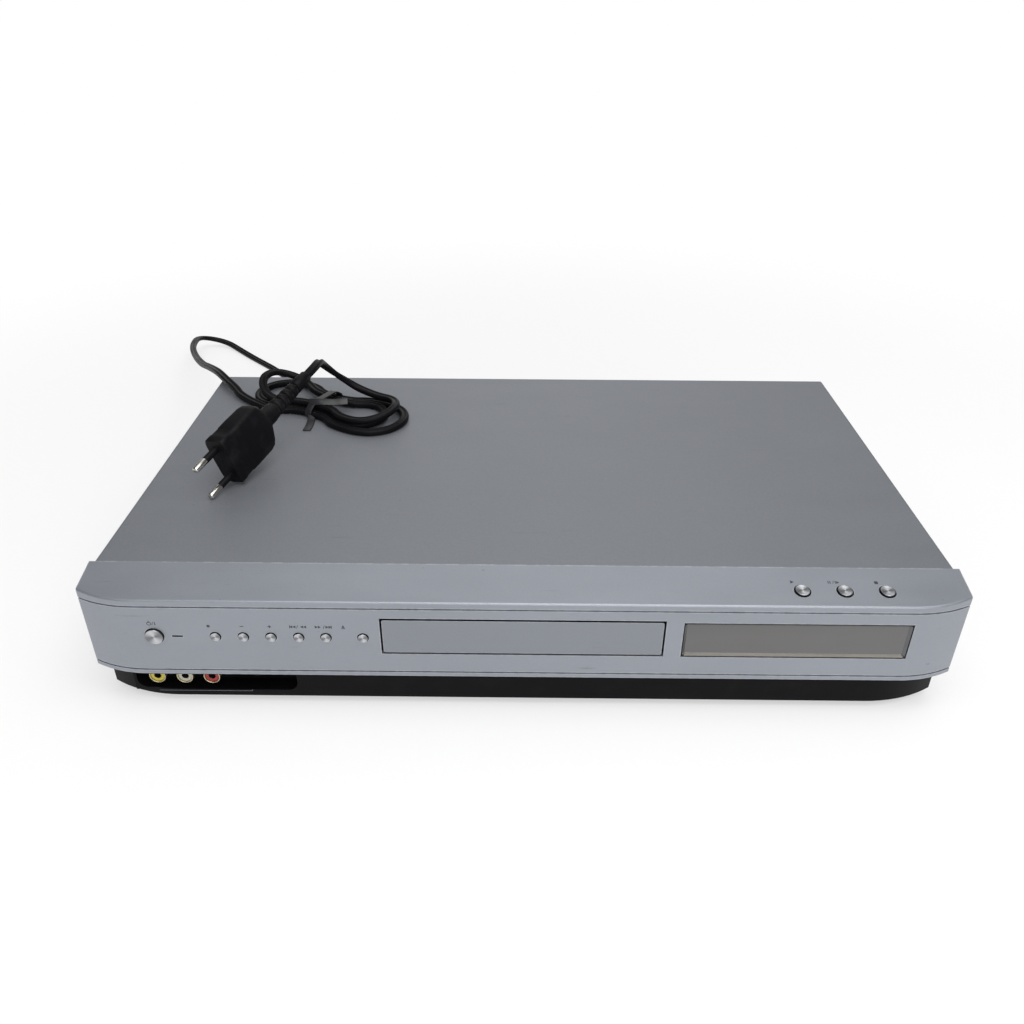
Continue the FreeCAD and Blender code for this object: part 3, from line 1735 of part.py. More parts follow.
def hank_point(s, t, z):
    along, across = hank_axes()
    centre = vec(hank_centre[0], front(hank_centre[1]), 0)
    return centre + along * s + across * t + Z * (overall_height + z)


def hank_stations():
    """Points and headings of the wound lead: inwards in one layer, then outwards in the next."""
    low = hank_rise
    high = low + hank_layer
    outer = (hank_outer_radius, hank_outer_waist)
    inner = (hank_inner_radius, hank_inner_waist)
    loop_at = hank_half_length - hank_outer_radius
    flare_turn = 2 * math.atan2(outer[0] - outer[1], loop_at - hank_waist_half)
    along, across = hank_axes()
    stations = []

    def station(s, t, z, heading, slope=0.0):
        direction = heading + Z * slope
        stations.append((hank_point(s, t, z), direction.normalize()))

    def flare(end, side, lane, z, way, slope=0.0):
        """The middle of the bend between the waist and an end loop, all lanes being parallel."""
        offset = outer[1] - lane[1]
        s = (hank_waist_half + loop_at) / 2 + math.sin(flare_turn) * offset
        t = (outer[1] + outer[0]) / 2 - math.cos(flare_turn) * offset
        outward = end * way * side
        heading = along * (way * math.cos(flare_turn)) + across * (outward * math.sin(flare_turn))
        station(end * s, side * t, z, heading, slope)

    def run(side, lane, z_from, z_to):
        """One long side, heading +s on the near side and -s on the far side."""
        way = 1 if side < 0 else -1
        climb = z_to - z_from
        slope = 0.2 * climb / hank_waist_half
        station(-way * loop_at, side * lane[0], z_from, along * way)
        flare(-way, side, lane, z_from + 0.1 * climb, way, slope / 3)
        station(-way * hank_waist_half, side * lane[1], z_from + 0.33 * climb, along * way, slope)
        station(way * hank_waist_half, side * lane[1], z_from + 0.67 * climb, along * way, slope)
        flare(way, side, lane, z_from + 0.9 * climb, way, slope / 3)
        station(way * loop_at, side * lane[0], z_to, along * way)

    def bend(end, lane_from, lane_to, z, reach):
        """One end loop, from the side it leaves to the side it enters, pulled out by reach."""
        leave = -1 if end > 0 else 1
        start = leave * lane_from[0]
        finish = -leave * lane_to[0]
        radius = abs(finish - start) / 2
        middle = (start + finish) / 2
        tip = loop_at + reach
        if reach:
            station(end * tip, start, z, along * end)
        station(end * (tip + radius), middle, z, across * -leave)
        if reach:
            station(end * tip, finish, z, along * -end)

    station(-loop_at - cord_diameter, -outer[0], low, along)
    run(-1, outer, low, low)
    bend(1, outer, outer, low, hank_reach["outer_right"])
    run(1, outer, low, low)
    bend(-1, outer, inner, low, hank_reach["lower_left"])
    run(-1, inner, low, low)
    bend(1, inner, inner, low, hank_reach["inner_right"])
    run(1, inner, low, high)
    bend(-1, inner, inner, high, hank_reach["upper_left"])
    run(-1, inner, high, high)
    bend(1, inner, outer, high, hank_reach["upper_right"])
    tip = loop_at + hank_reach["upper_right"]
    station(tip - cord_diameter, outer[0], high, along * -1)
    return stations


def arc_from(start, heading, end):
    """The arc that leaves start along heading and reaches end, or a line."""
    chord = end - start
    length = chord.Length
    unit = chord * (1 / length)
    lean = math.acos(max(-1.0, min(1.0, heading.dot(unit))))
    if lean < 1e-5:
        return Part.LineSegment(start, end).toShape(), None
    normal = heading - unit * heading.dot(unit)
    normal.normalize()
    middle = (start + end) * 0.5 + normal * (length / 2 * math.tan(lean / 2))
    return Part.Arc(start, middle, end).toShape(), length / (2 * math.sin(lean))


def biarc(start, heading, end, end_heading):
    """Two arcs that join two points along their headings."""
    span = end - start
    both = heading + end_heading
    a = 2 * (1 - heading.dot(end_heading))
    b = span.dot(both)
    if a < 1e-9:
        d = span.dot(span) / (2 * b)
    else:
        d = (-b + math.sqrt(b * b + a * span.dot(span))) / a
    joint = (start + end + (heading - end_heading) * d) * 0.5
    first, first_radius = arc_from(start, heading, joint)
    back, back_radius = arc_from(end, end_heading * -1, joint)
    last = Part.Edge(back.Curve.copy(), back.FirstParameter, back.LastParameter)
    return [first, last], [r for r in (first_radius, back_radius) if r]


def hank_wire():
    stations = hank_stations()
    edges = []
    radii = []
    for (p, h), (q, g) in zip(stations, stations[1:]):
        if (q - p).Length < 1e-6:
            continue
        pair, found = biarc(p, h, q, g)
        edges += pair
        radii += found
    return Part.Wire(Part.__sortEdges__(edges)), radii


def least_gap(wire, diameter):
    """The smallest space between parts of a tube that are not next to each other."""
    step = diameter / 3
    points = wire.discretize(Distance=step)
    skip = int(3 * diameter / step)
    best = math.inf
    for i, a in enumerate(points):
        for b in points[i + skip :]:
            best = min(best, a.distanceToPoint(b))
    return best - diameter


def swept(wire, radius):
    """A round tube along a wire."""
    first = wire.OrderedEdges[0]
    start = first.valueAt(first.FirstParameter)
    heading = first.tangentAt(first.FirstParameter)
    if (start - wire.OrderedVertexes[0].Point).Length > 1e-6:
        start = first.valueAt(first.LastParameter)
        heading = first.tangentAt(first.LastParameter) * -1
    ring = Part.Wire(Part.makeCircle(radius, start, heading))
    return wire.makePipeShell([ring], True, False)


def tube_wire(points):
    """Straight runs joined by tangent arcs, and the arcs' radii."""
    edges = []
    radii = []
    here = points[0]
    for before, corner, after in zip(points, points[1:], points[2:]):
        back = before - corner
        ahead = after - corner
        shorter = min(back.Length, ahead.Length)
        back.normalize()
        ahead.normalize()
        trim = 0.45 * shorter
        turn = math.pi - math.acos(max(-1.0, min(1.0, back.dot(ahead))))
        radius = trim / math.tan(turn / 2)
        enter = corner + back * trim
        leave = corner + ahead * trim
        inward = (back + ahead).normalize()
        middle = corner + inward * (radius / math.cos(turn / 2) - radius)
        edges.append(Part.LineSegment(here, enter).toShape())
        edges.append(Part.Arc(enter, middle, leave).toShape())
        radii.append(radius)
        here = leave
    edges.append(Part.LineSegment(here, points[-1]).toShape())
    return Part.Wire(edges), radii


def report_tube(name, wire, shape, radii):
    section = math.pi * cord_radius**2
    ratio = shape.Volume / (section * wire.Length)
    print(
        name,
        "length %.1f" % wire.Length,
        "volume over section times length %.4f" % ratio,
        "least radius %.1f" % min(radii),
    )


def make_lead_in():
    raw = [vec(x, front(depth), z) for x, depth, z in cord_points()]
    start, heading = hank_stations()[0]
    raw.append(start - heading * 14.0)
    raw.append(start)
    wire, radii = tube_wire(raw)
    tube = swept(wire, cord_radius)
    report_tube("cord_lead_in", wire, tube, radii)
    keep("cord_lead_in", tube)
    return wire.Length


def plug_direction():
    """From the cord's end to the plug's face."""
    turn = math.radians(plug_heading)
    lean = math.radians(plug_lean)
    return vec(math.cos(turn) * math.cos(lean), math.sin(turn) * math.cos(lean), -math.sin(lean))


def relief_end():
    """Where the cord leaves the plug's strain relief."""
    x, depth, rise = plug_face
    return vec(x, front(depth), overall_height + rise) - plug_direction() * plug_length()


def lead_out_points():
    """From the hank over its far side up to the plug's strain relief."""
    start, heading = hank_stations()[-1]
    end = relief_end()
    points = [start, start + heading * lead_out_first]
    points += [vec(x, front(depth), overall_height + rise) for x, depth, rise in lead_out_middle]
    return points + [end - plug_direction() * lead_out_last, end]


def make_lead_out():
    points = lead_out_points()
    wire, radii = tube_wire(points)
    tube = swept(wire, cord_radius)
    report_tube("cord_lead_out", wire, tube, radii)
    keep("cord_lead_out", tube)
    return wire.Length


def make_hank():
    wire, radii = hank_wire()
    tube = swept(wire, cord_radius)
    report_tube("cord_hank", wire, tube, radii)
    print("cord_hank least gap to itself %.2f" % least_gap(wire, cord_diameter))
    keep("cord_hank", tube)
    return wire.Length


def make_tie():
    """A flat strap round the waist of the hank."""
    grow = cord_radius + tie_gap
    half = hank_outer_waist + grow
    low = hank_rise - grow
    high = hank_rise + hank_layer + grow
    corners = [
        (-half, low),
        (half, low),
        (half, hank_rise + grow / 2),
        (hank_inner_waist, high),
        (-hank_inner_waist - grow / 2, high),
        (-half, hank_rise + grow / 2),
    ]
    points = [hank_point(-tie_width / 2, t, z) for t, z in corners]
    along, across = hank_axes()
    outline = Part.makePolygon(points + [points[0]])
    inner = outline.makeOffset2D(-tie_thick, 0, False, False, False)
    outer_solid = Part.Face(outline).extrude(along * tie_width)
    inner_solid = Part.Face(inner).extrude(along * tie_width)
    keep("cord_tie", outer_solid.cut(inner_solid))


def ring_of(width, thick, corner, y):
    """A rounded rectangle across the plug's axis, as a wire."""
    w = width / 2
    t = thick / 2
    c = corner
    k = c * (1 - math.sqrt(0.5))
    spots = [
        ((w, -t + c), (w, t - c)),
        ((w - k, t - k), (w - c, t)),
        ((w - c, t), (-w + c, t)),
        ((-w + k, t - k), (-w, t - c)),
        ((-w, t - c), (-w, -t + c)),
        ((-w + k, -t + k), (-w + c, -t)),
        ((-w + c, -t), (w - c, -t)),
        ((w - k, -t + k), (w, -t + c)),
    ]
    edges = []
    here = vec(w, y, -t + c)
    for index, (first, second) in enumerate(spots):
        if index % 2 == 0:
            end = vec(second[0], y, second[1])
            edges.append(Part.LineSegment(here, end).toShape())
        else:
            end = vec(second[0], y, second[1])
            edges.append(Part.Arc(here, vec(first[0], y, first[1]), end).toShape())
        here = end
    return Part.Wire(edges)


def place_plug(shape):
    """Rolls the plug about its axis, leans it on the hank and turns it to its heading."""
    placed = shape.copy()
    placed.rotate(vec(0, 0, 0), Y, plug_roll)
    placed.rotate(vec(0, 0, 0), X, plug_lean)
    placed.rotate(vec(0, 0, 0), Z, plug_heading + 90)
    placed.translate(relief_end() + plug_direction() * plug_length())
    return placed


def plug_length():
    return plug_body_length + plug_shoulder + plug_neck + plug_relief


def make_plug():
    body_rings = [
        ring_of(plug_width, plug_thick, plug_round, 0),
        ring_of(plug_width, plug_thick, plug_round, plug_body_length),
    ]
    shoulder_rings = [
        body_rings[1],
        ring_of(plug_shoulder_width, plug_shoulder_thick, plug_round, plug_body_length + plug_shoulder),
    ]
    body = Part.makeLoft(body_rings, True, True)
    shoulder = Part.makeLoft(shoulder_rings, True, True)
    y = plug_body_length + plug_shoulder
    neck = rod(plug_neck_radius, plug_neck + 0.5, vec(0, y - 0.5, 0), Y)
    y += plug_neck
    relief = cone(plug_relief_radius, relief_end_radius, plug_relief, vec(0, y, 0), Y)
    grooves = []
    for index in range(relief_groove_count):
        start = vec(0, y + relief_groove_first + index * relief_groove_pitch, 0)
        tube = rod(2 * plug_relief_radius, relief_groove_width, start, Y)
        grooves.append(tube.cut(rod(relief_core_radius, relief_groove_width, start, Y)))
    relief = cut(relief, grooves)
    whole = join([body, shoulder, neck, relief])
    group = [place_plug(whole)]
    for side in (-1, 1):
        x = side * pin_spacing / 2
        sleeve = rod(pin_radius, pin_sleeve, vec(x, -pin_sleeve, 0), Y)
        tip = rod(pin_radius, pin_length - pin_sleeve, vec(x, -pin_length, 0), Y)
        nose = [edge for edge in tip.Edges if edge.Closed and edge.CenterOfMass.y < -pin_length + 0.1]
        tip = tip.makeFillet(pin_nose, nose)
        group += [place_plug(sleeve), place_plug(tip)]
    keep("mains_plug", group)


def make_grommet():
    place = vec(cord_exit_x, panel_inner, cord_exit_z)
    flange_radius = relief_root_radius + grommet_flange
    flange = rod(flange_radius, grommet_flange, place - Y * grommet_flange, Y)
    neck = rod(relief_root_radius, sheet + 0.1, place, Y)
    collar_place = vec(cord_exit_x, panel_outer, cord_exit_z)
    collar = rod(relief_root_radius + grommet_collar, grommet_collar_thick, collar_place, Y)
    start = panel_outer + grommet_collar_thick
    length = front(exit_depth) - start
    body = cone(relief_root_radius, relief_end_radius, length, vec(cord_exit_x, start, cord_exit_z), Y)
    keep("cord_grommet", join([flange, neck, collar, body]))


def make_all():
    make_front_fascia()
    make_lower_fascia()
    make_bottom_chassis()
    make_top_cover()
    make_rear_panel()
    make_foot_pads()
    make_case_screws()
    make_buttons()
    make_status_light()
    make_display_window()
    make_control_board()
    make_display_board()
    make_display_tube()
    make_front_sockets()
    make_scart_sockets()
    make_rear_jacks()
    make_tuner()
    make_main_board()
    make_power_board()
    make_fan()
    make_disc_tray()
    make_gears()
    make_belt()
    make_loading_motor()
    make_tray_door()
    make_drive_frame()
    make_cam_slider()
    make_traverse_frame()
    make_guide_rods()
    make_sled()
    make_pickup()
    make_spindle()
    make_clamp()
    make_grommet()
    cord = make_lead_in() + make_hank() + make_lead_out()
    make_tie()
    make_plug()
    print("whole lead %.0f" % cord)


def main():
    make_all()
    os.makedirs("parts", exist_ok=True)
    for name, shape in nodes.items():
        if not shape.isValid():
            print("not valid:", name)
        shape.exportStep(os.path.join("parts", name + ".step"))
    print(len(nodes), "nodes")


main()
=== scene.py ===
import math
from functools import partial
from math import cos, radians, sin

import bmesh
import bpy
from bmesh import ops
from bpy.props import FloatProperty, FloatVectorProperty, PointerProperty
from bpy.types import Operator, Panel, PropertyGroup
from mathutils import Matrix, Vector


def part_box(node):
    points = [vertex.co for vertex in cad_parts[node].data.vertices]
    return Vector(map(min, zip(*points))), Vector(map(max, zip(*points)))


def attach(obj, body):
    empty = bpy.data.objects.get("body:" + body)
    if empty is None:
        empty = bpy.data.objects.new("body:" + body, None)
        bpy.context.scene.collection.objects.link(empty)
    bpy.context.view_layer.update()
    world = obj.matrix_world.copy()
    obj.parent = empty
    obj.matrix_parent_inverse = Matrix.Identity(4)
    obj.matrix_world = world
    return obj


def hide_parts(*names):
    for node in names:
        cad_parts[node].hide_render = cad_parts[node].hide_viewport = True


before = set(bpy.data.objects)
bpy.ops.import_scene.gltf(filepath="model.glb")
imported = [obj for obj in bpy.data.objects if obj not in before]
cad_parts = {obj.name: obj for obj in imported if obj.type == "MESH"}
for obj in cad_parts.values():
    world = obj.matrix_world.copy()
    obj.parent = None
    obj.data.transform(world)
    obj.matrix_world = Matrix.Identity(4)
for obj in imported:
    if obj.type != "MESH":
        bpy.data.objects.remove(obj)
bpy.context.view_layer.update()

bl_info = {
    "name": "Disc Recorder",
    "version": (1, 0, 0),
    "blender": (4, 5, 0),
    "location": "3D View > Sidebar > Recorder",
    "description": "Finishes a disc recorder, winds its mains lead and sets up a pale studio",
    "category": "Object",
}

MM = 0.001
BUMP_HEIGHT = 0.0002
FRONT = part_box("front_fascia")[0][1] / MM
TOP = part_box("top_cover")[1][2] / MM


def at(x, depth, z):
    """A place in metres from millimetres: to the right, back from the front face, up from the table."""
    return Vector((x, FRONT + depth, z)) * MM


def colour_setting(name, description, default):
    return FloatVectorProperty(name=name, description=description, subtype="COLOR", size=3, default=default)


def number_setting(name, description, default, min=0.0, **kind):
    return FloatProperty(name=name, description=description, default=default, min=min, **kind)


# Node trees


def add(tree, kind, feeds=(), **settings):
    """A node with its settings, whose inputs take a value or a link from another node's output."""
    node = tree.nodes.new("ShaderNode" + kind)
    for name, value in settings.items():
        setattr(node, name, value)
    for name, value in dict(feeds).items():
        if isinstance(value, bpy.types.NodeSocket):
            tree.links.new(value, node.inputs[name])
        else:
            node.inputs[name].default_value = value
    return node


def calc(tree, operation, *terms):
    return add(tree, "Math", dict(enumerate(terms)), operation=operation).outputs[0]


def times(tree, first, second):
    return calc(tree, "MULTIPLY", first, second)


def over(tree, value, level):
    return calc(tree, "GREATER_THAN", value, level)


def raised(tree, pattern, amount, base):
    return calc(tree, "MULTIPLY_ADD", pattern, amount, base)


def vary(tree, pattern, amount, base):
    """The base, moved up and down by a pattern whose middle is a half."""
    return raised(tree, calc(tree, "SUBTRACT", pattern, 0.5), amount, base)


def steps(tree, value, low, high, bottom=0.0, top=1.0):
    """A smooth step from bottom to top while the value goes from low to high."""
    feeds = {"Value": value, "From Min": low, "From Max": high, "To Min": bottom, "To Max": top}
    return add(tree, "MapRange", feeds, interpolation_type="SMOOTHSTEP").outputs["Result"]


def rgba(value):
    """A colour of three numbers with its alpha, and any other value as it is."""
    return (*value, 1.0) if hasattr(value, "__len__") else value


def blend(tree, factor, first, second, mode="MIX"):
    feeds = {0: factor, 6: rgba(first), 7: rgba(second)}
    return add(tree, "Mix", feeds, data_type="RGBA", blend_type=mode).outputs[2]


def noise(tree, vector, scale, detail=2.0, stretch=None):
    if stretch:
        vector = add(tree, "Mapping", {"Vector": vector, "Scale": stretch}).outputs[0]
    feeds = {"Vector": vector, "Scale": scale, "Detail": detail}
    return add(tree, "TexNoise", feeds).outputs[0]


PLAIN = ("Colour", "Roughness", "Height")
METALLIC = ("Colour", "Metal", "Roughness", "Height")


def effect(name, outputs=PLAIN, **inputs):
    """A shader node group: its tree, the sockets that it takes and a function that gives its outputs."""
    tree = bpy.data.node_groups.new(name, "ShaderNodeTree")

    def socket(label, way, kind):
        return tree.interface.new_socket(name=label, in_out=way, socket_type="NodeSocket" + kind)

    socket("Vector", "INPUT", "Vector")
    for label, value in inputs.items():
        kind = "Color" if hasattr(value, "__len__") else "Float"
        socket(label.replace("_", " "), "INPUT", kind).default_value = rgba(value)
    for label in outputs:
        socket(label, "OUTPUT", "Color" if label == "Colour" else "Float")
    take = tree.nodes.new("NodeGroupInput").outputs
    end = tree.nodes.new("NodeGroupOutput").inputs

    def give(**values):
        for label, value in values.items():
            tree.links.new(value, end[label])

    return tree, take, give


def tinted(tree, colour, tone):
    """A colour made lighter or darker by a tone around one."""
    tones = add(tree, "CombineColor", {"Red": tone, "Green": tone, "Blue": tone}).outputs[0]
    return blend(tree, 1.0, colour, tones, "MULTIPLY")


def rubbed_edges_and_glint(tree, vector, radius):
    """A patchy mask where the surface turns round an edge."""
    turned = add(tree, "Bevel", {"Radius": radius}, samples=4).outputs[0]
    normal = add(tree, "NewGeometry").outputs["Normal"]
    level = add(tree, "VectorMath", {0: turned, 1: normal}, operation="DOT_PRODUCT").outputs["Value"]
    edge = steps(tree, level, 0.985, 0.86)
    return times(tree, edge, steps(tree, noise(tree, vector, 260.0, 4.0), 0.38, 0.62, 0.25))


def paint_effect():
    """Satin metallic paint: a broad mottle, a fine flake, faint scuffs and lighter edges, which are rubbed
    paint and a painted highlight in one.
    """
    tree, take, give = effect(
        "satin_paint", Colour=(0.3, 0.3, 0.3), Mottle=0.05, Flake=0.06, Flake_Scale=1900.0, Scuffs=0.4,
        Wear=0.4, Gloss=0.42
    )
    vector = take["Vector"]
    cloud = noise(tree, vector, 9.0, 3.0)
    flake = noise(tree, vector, take["Flake Scale"], 1.0)
    streak = noise(tree, vector, 55.0, 4.0, (0.35, 1.0, 1.0))
    tone = vary(tree, cloud, take["Mottle"], 1.0)
    tone = vary(tree, flake, take["Flake"], tone)
    tone = vary(tree, streak, take["Mottle"], tone)
    patches = steps(tree, noise(tree, vector, 22.0, 3.0), 0.5, 0.68)
    scratches = steps(tree, noise(tree, vector, 420.0, 2.0, (0.09, 1.0, 0.8)), 0.66, 0.74)
    specks = steps(tree, noise(tree, vector, 330.0, 1.0), 0.77, 0.82)
    scuff = calc(tree, "MAXIMUM", times(tree, scratches, patches), specks)
    scuff = times(tree, scuff, take["Scuffs"])
    rub_and_glint = times(tree, rubbed_edges_and_glint(tree, vector, 0.0011), take["Wear"])
    colour = tinted(tree, take["Colour"], tone)
    colour = blend(tree, scuff, colour, (0.12, 0.12, 0.13))
    # Edges go pale silver: rubbed paint together with a painted highlight along each edge.
    colour = blend(tree, rub_and_glint, colour, (0.62, 0.64, 0.68))
    rough = raised(tree, scuff, 0.25, vary(tree, streak, 0.16, take["Gloss"]))
    height = raised(tree, flake, 0.5, times(tree, scuff, -0.5))
    give(Colour=colour, Roughness=rough, Height=height)


def mould_effect():
    """Moulded plastic or rubber: a spark-eroded grain, a slow change of tone and dust in patches."""
    tree, take, give = effect(
        "moulded_plastic", Colour=(0.03, 0.03, 0.03), Grain_Scale=1500.0, Variation=0.2, Dust=0.02, Gloss=0.5,
        Wear=0.1
    )
    vector = take["Vector"]
    cloud = noise(tree, vector, 24.0, 4.0)
    grain = noise(tree, vector, take["Grain Scale"])
    tone = vary(tree, cloud, take["Variation"], 1.0)
    tone = vary(tree, grain, take["Variation"], tone)
    dust = times(tree, steps(tree, noise(tree, vector, 90.0, 5.0), 0.45, 0.75), take["Dust"])
    rub_and_glint = times(tree, rubbed_edges_and_glint(tree, vector, 0.0005), take["Wear"])
    colour = blend(tree, dust, tinted(tree, take["Colour"], tone), (0.45, 0.45, 0.44))
    colour = blend(tree, rub_and_glint, colour, (0.4, 0.4, 0.41))
    rough = raised(tree, dust, 0.6, vary(tree, cloud, 0.2, take["Gloss"]))
    give(Colour=colour, Roughness=rough, Height=grain)


def metal_effect():
    """Bare or plated metal: crystals of two tones, fine drawing lines and dull spots."""
    tree, take, give = effect(
        "plated_metal", Colour=(0.5, 0.5, 0.5), Crystal_Scale=130.0, Crystals=0.14, Lines=0.1, Gloss=0.34
    )
    vector = take["Vector"]
    cells = add(tree, "TexVoronoi", {"Vector": vector, "Scale": take["Crystal Scale"]})
    cell = add(tree, "SeparateColor", {0: cells.outputs["Color"]}).outputs[0]
    lines = noise(tree, vector, 900.0, 3.0, (0.02, 1.0, 1.0))
    spots = noise(tree, vector, 45.0, 5.0)
    tone = vary(tree, cell, take["Crystals"], 1.0)
    colour = tinted(tree, take["Colour"], vary(tree, lines, take["Lines"], tone))
    rough = vary(tree, spots, 0.3, take["Gloss"])
    give(Colour=colour, Roughness=rough, Height=raised(tree, lines, 0.6, cell))


def finish(group, name, bump=0.15, nodes=(), source="Object", mapping=None, **values):
    """A material of one effect, put on the CAD nodes named.

    The mapping moves or turns the effect. Each value goes to its input, or else to the shader's.
    """
    material = bpy.data.materials.new(name)
    material.use_nodes = True
    tree = material.node_tree
    surface = tree.nodes["Principled BSDF"]
    place = add(tree, "TexCoord").outputs[source]
    if mapping:
        place = add(tree, "Mapping", {"Vector": place, **mapping}).outputs[0]
    made = add(tree, "Group", node_tree=bpy.data.node_groups[group])
    tree.links.new(place, made.inputs["Vector"])
    for label, value in values.items():
        label = label.replace("_", " ").replace("Specular", "Specular IOR Level")
        sockets = made.inputs if label in made.inputs else surface.inputs
        sockets[label].default_value = rgba(value)
    for label, socket in (("Colour", "Base Color"), ("Roughness", "Roughness"), ("Metal", "Metallic")):
        if label in made.outputs:
            tree.links.new(made.outputs[label], surface.inputs[socket])
    feeds = {"Strength": bump, "Distance": BUMP_HEIGHT, "Height": made.outputs["Height"]}
    tree.links.new(add(tree, "Bump", feeds).outputs[0], surface.inputs["Normal"])
    for node in nodes:
        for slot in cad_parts[node].material_slots:
            slot.material = material
    return material


painted = partial(finish, "satin_paint")
moulded = partial(finish, "moulded_plastic")
plated = partial(finish, "plated_metal")


# Mesh pieces


def mesh_from(name, work):
    """Turns a finished bmesh into a mesh and lets the bmesh go."""
    mesh = bpy.data.meshes.new(name)
    work.to_mesh(mesh)
    work.free()
    return mesh


def linked(name, data):
    made = bpy.data.objects.new(name, data)
    bpy.context.scene.collection.objects.link(made)
    return made


def absorb(work, other):
    """Adds a second bmesh to the first."""
    mesh = mesh_from("absorbed", other)
    work.from_mesh(mesh)
    bpy.data.meshes.remove(mesh)


def shift(work, made, step):
    """Moves the vertices that an extrusion has made."""
    fresh = [item for item in made if isinstance(item, bmesh.types.BMVert)]
    ops.translate(work, verts=fresh, vec=step)


def outward(work):
    ops.recalc_face_normals(work, faces=work.faces)


def rounded(work, geom, offset, segments, affect="EDGES"):
    sizes = {"offset": offset, "offset_type": "OFFSET", "segments": segments, "profile": 0.5}
    ops.bevel(work, geom=geom, affect=affect, material=-1, **sizes)


def piece(name, work, materials, body, smooth=True, place=Matrix()):
    """Puts a finished bmesh in its place, as a piece that rides on a body."""
    ops.transform(work, matrix=place, verts=work.verts)
    mesh = mesh_from(name, work)
    for material in materials:
        mesh.materials.append(material)
    mesh.shade_smooth() if smooth else mesh.shade_flat()
    made = linked(name, mesh)
    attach(made, body)
    return made


def spun(profile, rounds=48):
    """A closed turned shape: the profile of radius and height goes once round the z axis."""
    work = bmesh.new()
    spots = [work.verts.new((radius * MM, 0.0, height * MM)) for radius, height in profile]
    edges = [work.edges.new(pair) for pair in zip(spots, spots[1:])]
    ops.spin(
        work, geom=spots + edges, cent=(0, 0, 0), axis=(0, 0, 1), angle=math.tau, steps=rounds, use_merge=True
    )
    ops.remove_doubles(work, verts=work.verts, dist=1e-6)
    outward(work)
    return work


def sharp_edges(work, degrees):
    for edge in work.edges:
        if len(edge.link_faces) == 2 and edge.calc_face_angle(0.0) > radians(degrees):
            edge.smooth = False


def lofted(rings, section, rounds=40):
    """A closed shape along y: each ring's size goes to the section, which gives its outline."""
    work = bmesh.new()
    ops.create_circle(work, segments=rounds, radius=1.0)
    loop = list(work.verts)
    turns = [math.atan2(spot.co.y, spot.co.x) for spot in loop]
    first = edges = list(work.edges)
    for number, ring in enumerate(rings):
        if number:
            made = ops.extrude_edge_only(work, edges=edges)["geom"]
            loop = [item for item in made if isinstance(item, bmesh.types.BMVert)]
            lines = (item for item in made if isinstance(item, bmesh.types.BMEdge))
            edges = [line for line in lines if set(line.verts) <= set(loop)]
        for spot, turn in zip(loop, turns):
            spot.co = Vector(section(turn, *ring)) * MM
    ops.holes_fill(work, edges=first + edges)
    outward(work)
    return work


# Mains lead

LEAD_IN = (
    (-165.0, 280.0, 30.0), (-165.0, 297.0, 30.0), (-166.5, 319.0, 25.5), (-172.0, 345.0, 15.5),
    (-182.0, 374.0, 6.5), (-203.0, 407.0, 2.3), (-228.0, 437.0, 2.1), (-242.5, 452.0, 2.1),
    (-257.5, 467.5, 2.1), (-273.0, 484.0, 2.6), (-288.0, 497.9, 4.6), (-304.0, 497.4, 9.0),
    (-312.5, 486.0, 13.6), (-306.5, 457.0, 19.0), (-298.0, 430.6, 24.6), (-287.5, 404.0, 31.0),
    (-275.5, 376.0, 38.0), (-261.5, 345.0, 47.0), (-247.8, 314.5, 57.0), (-236.0, 291.0, 65.4),
    (-225.0, 270.5, 72.0), (-214.8, 253.0, 76.6), (-204.6, 237.0, 77.6), (-195.5, 226.0, 76.6),
    (-190.0, 217.4, 75.0),
)
HANK_CENTRE = (-131.5, 205.0)
HANK_TURN = radians(-28.0)
HANK_LOW = 2.1
HANK_HIGH = 6.0
LOOP_AT = 29.2
OUTER_LANE = ((22.6, 21.3), (11.6, 14.0))
INNER_LANE = ((24.3, 15.6), (13.3, 8.3))
LEAD_OUT = (
    (-110.0, 216.6, 9.4), (-117.2, 216.6, 14.4), (-123.6, 213.6, 20.6), (-127.9, 208.6, 27.4),
    (-130.0, 201.6, 33.6), (-129.0, 193.2, 37.8),
)
PLUG_FACE = (-166.9, 100.4, 15.4)
PLUG_LENGTH = 84.0
PLUG_TURN = (336.0, 14.0, 81.0)
PIN_ASIDE = 9.3


def hank_place(s, t, z):
    """From along and across the hank to the frame, with heights above the cover."""
    x = HANK_CENTRE[0] + s * cos(HANK_TURN) - t * sin(HANK_TURN)
    depth = HANK_CENTRE[1] + s * sin(HANK_TURN) + t * cos(HANK_TURN)
    return at(x, depth, TOP + z)


FLAT = (0.0, 0.0, 0.0, 0.0)
# Each side's lane, first and last height, then its loop's new lane, reach and lifts
HANK_LAPS = (
    (OUTER_LANE, HANK_LOW, HANK_LOW, OUTER_LANE, 9.0, FLAT),
    (OUTER_LANE, HANK_LOW, HANK_LOW, INNER_LANE, 5.0, FLAT),
    (INNER_LANE, HANK_LOW, HANK_LOW, INNER_LANE, 0.0, FLAT),
    (INNER_LANE, HANK_LOW, HANK_HIGH, INNER_LANE, 1.0, (4.0, 9.0, 9.0, 3.0)),
    (INNER_LANE, HANK_HIGH, HANK_HIGH, OUTER_LANE, 4.0, (0.0, 2.0, 3.0, 1.0)),
)


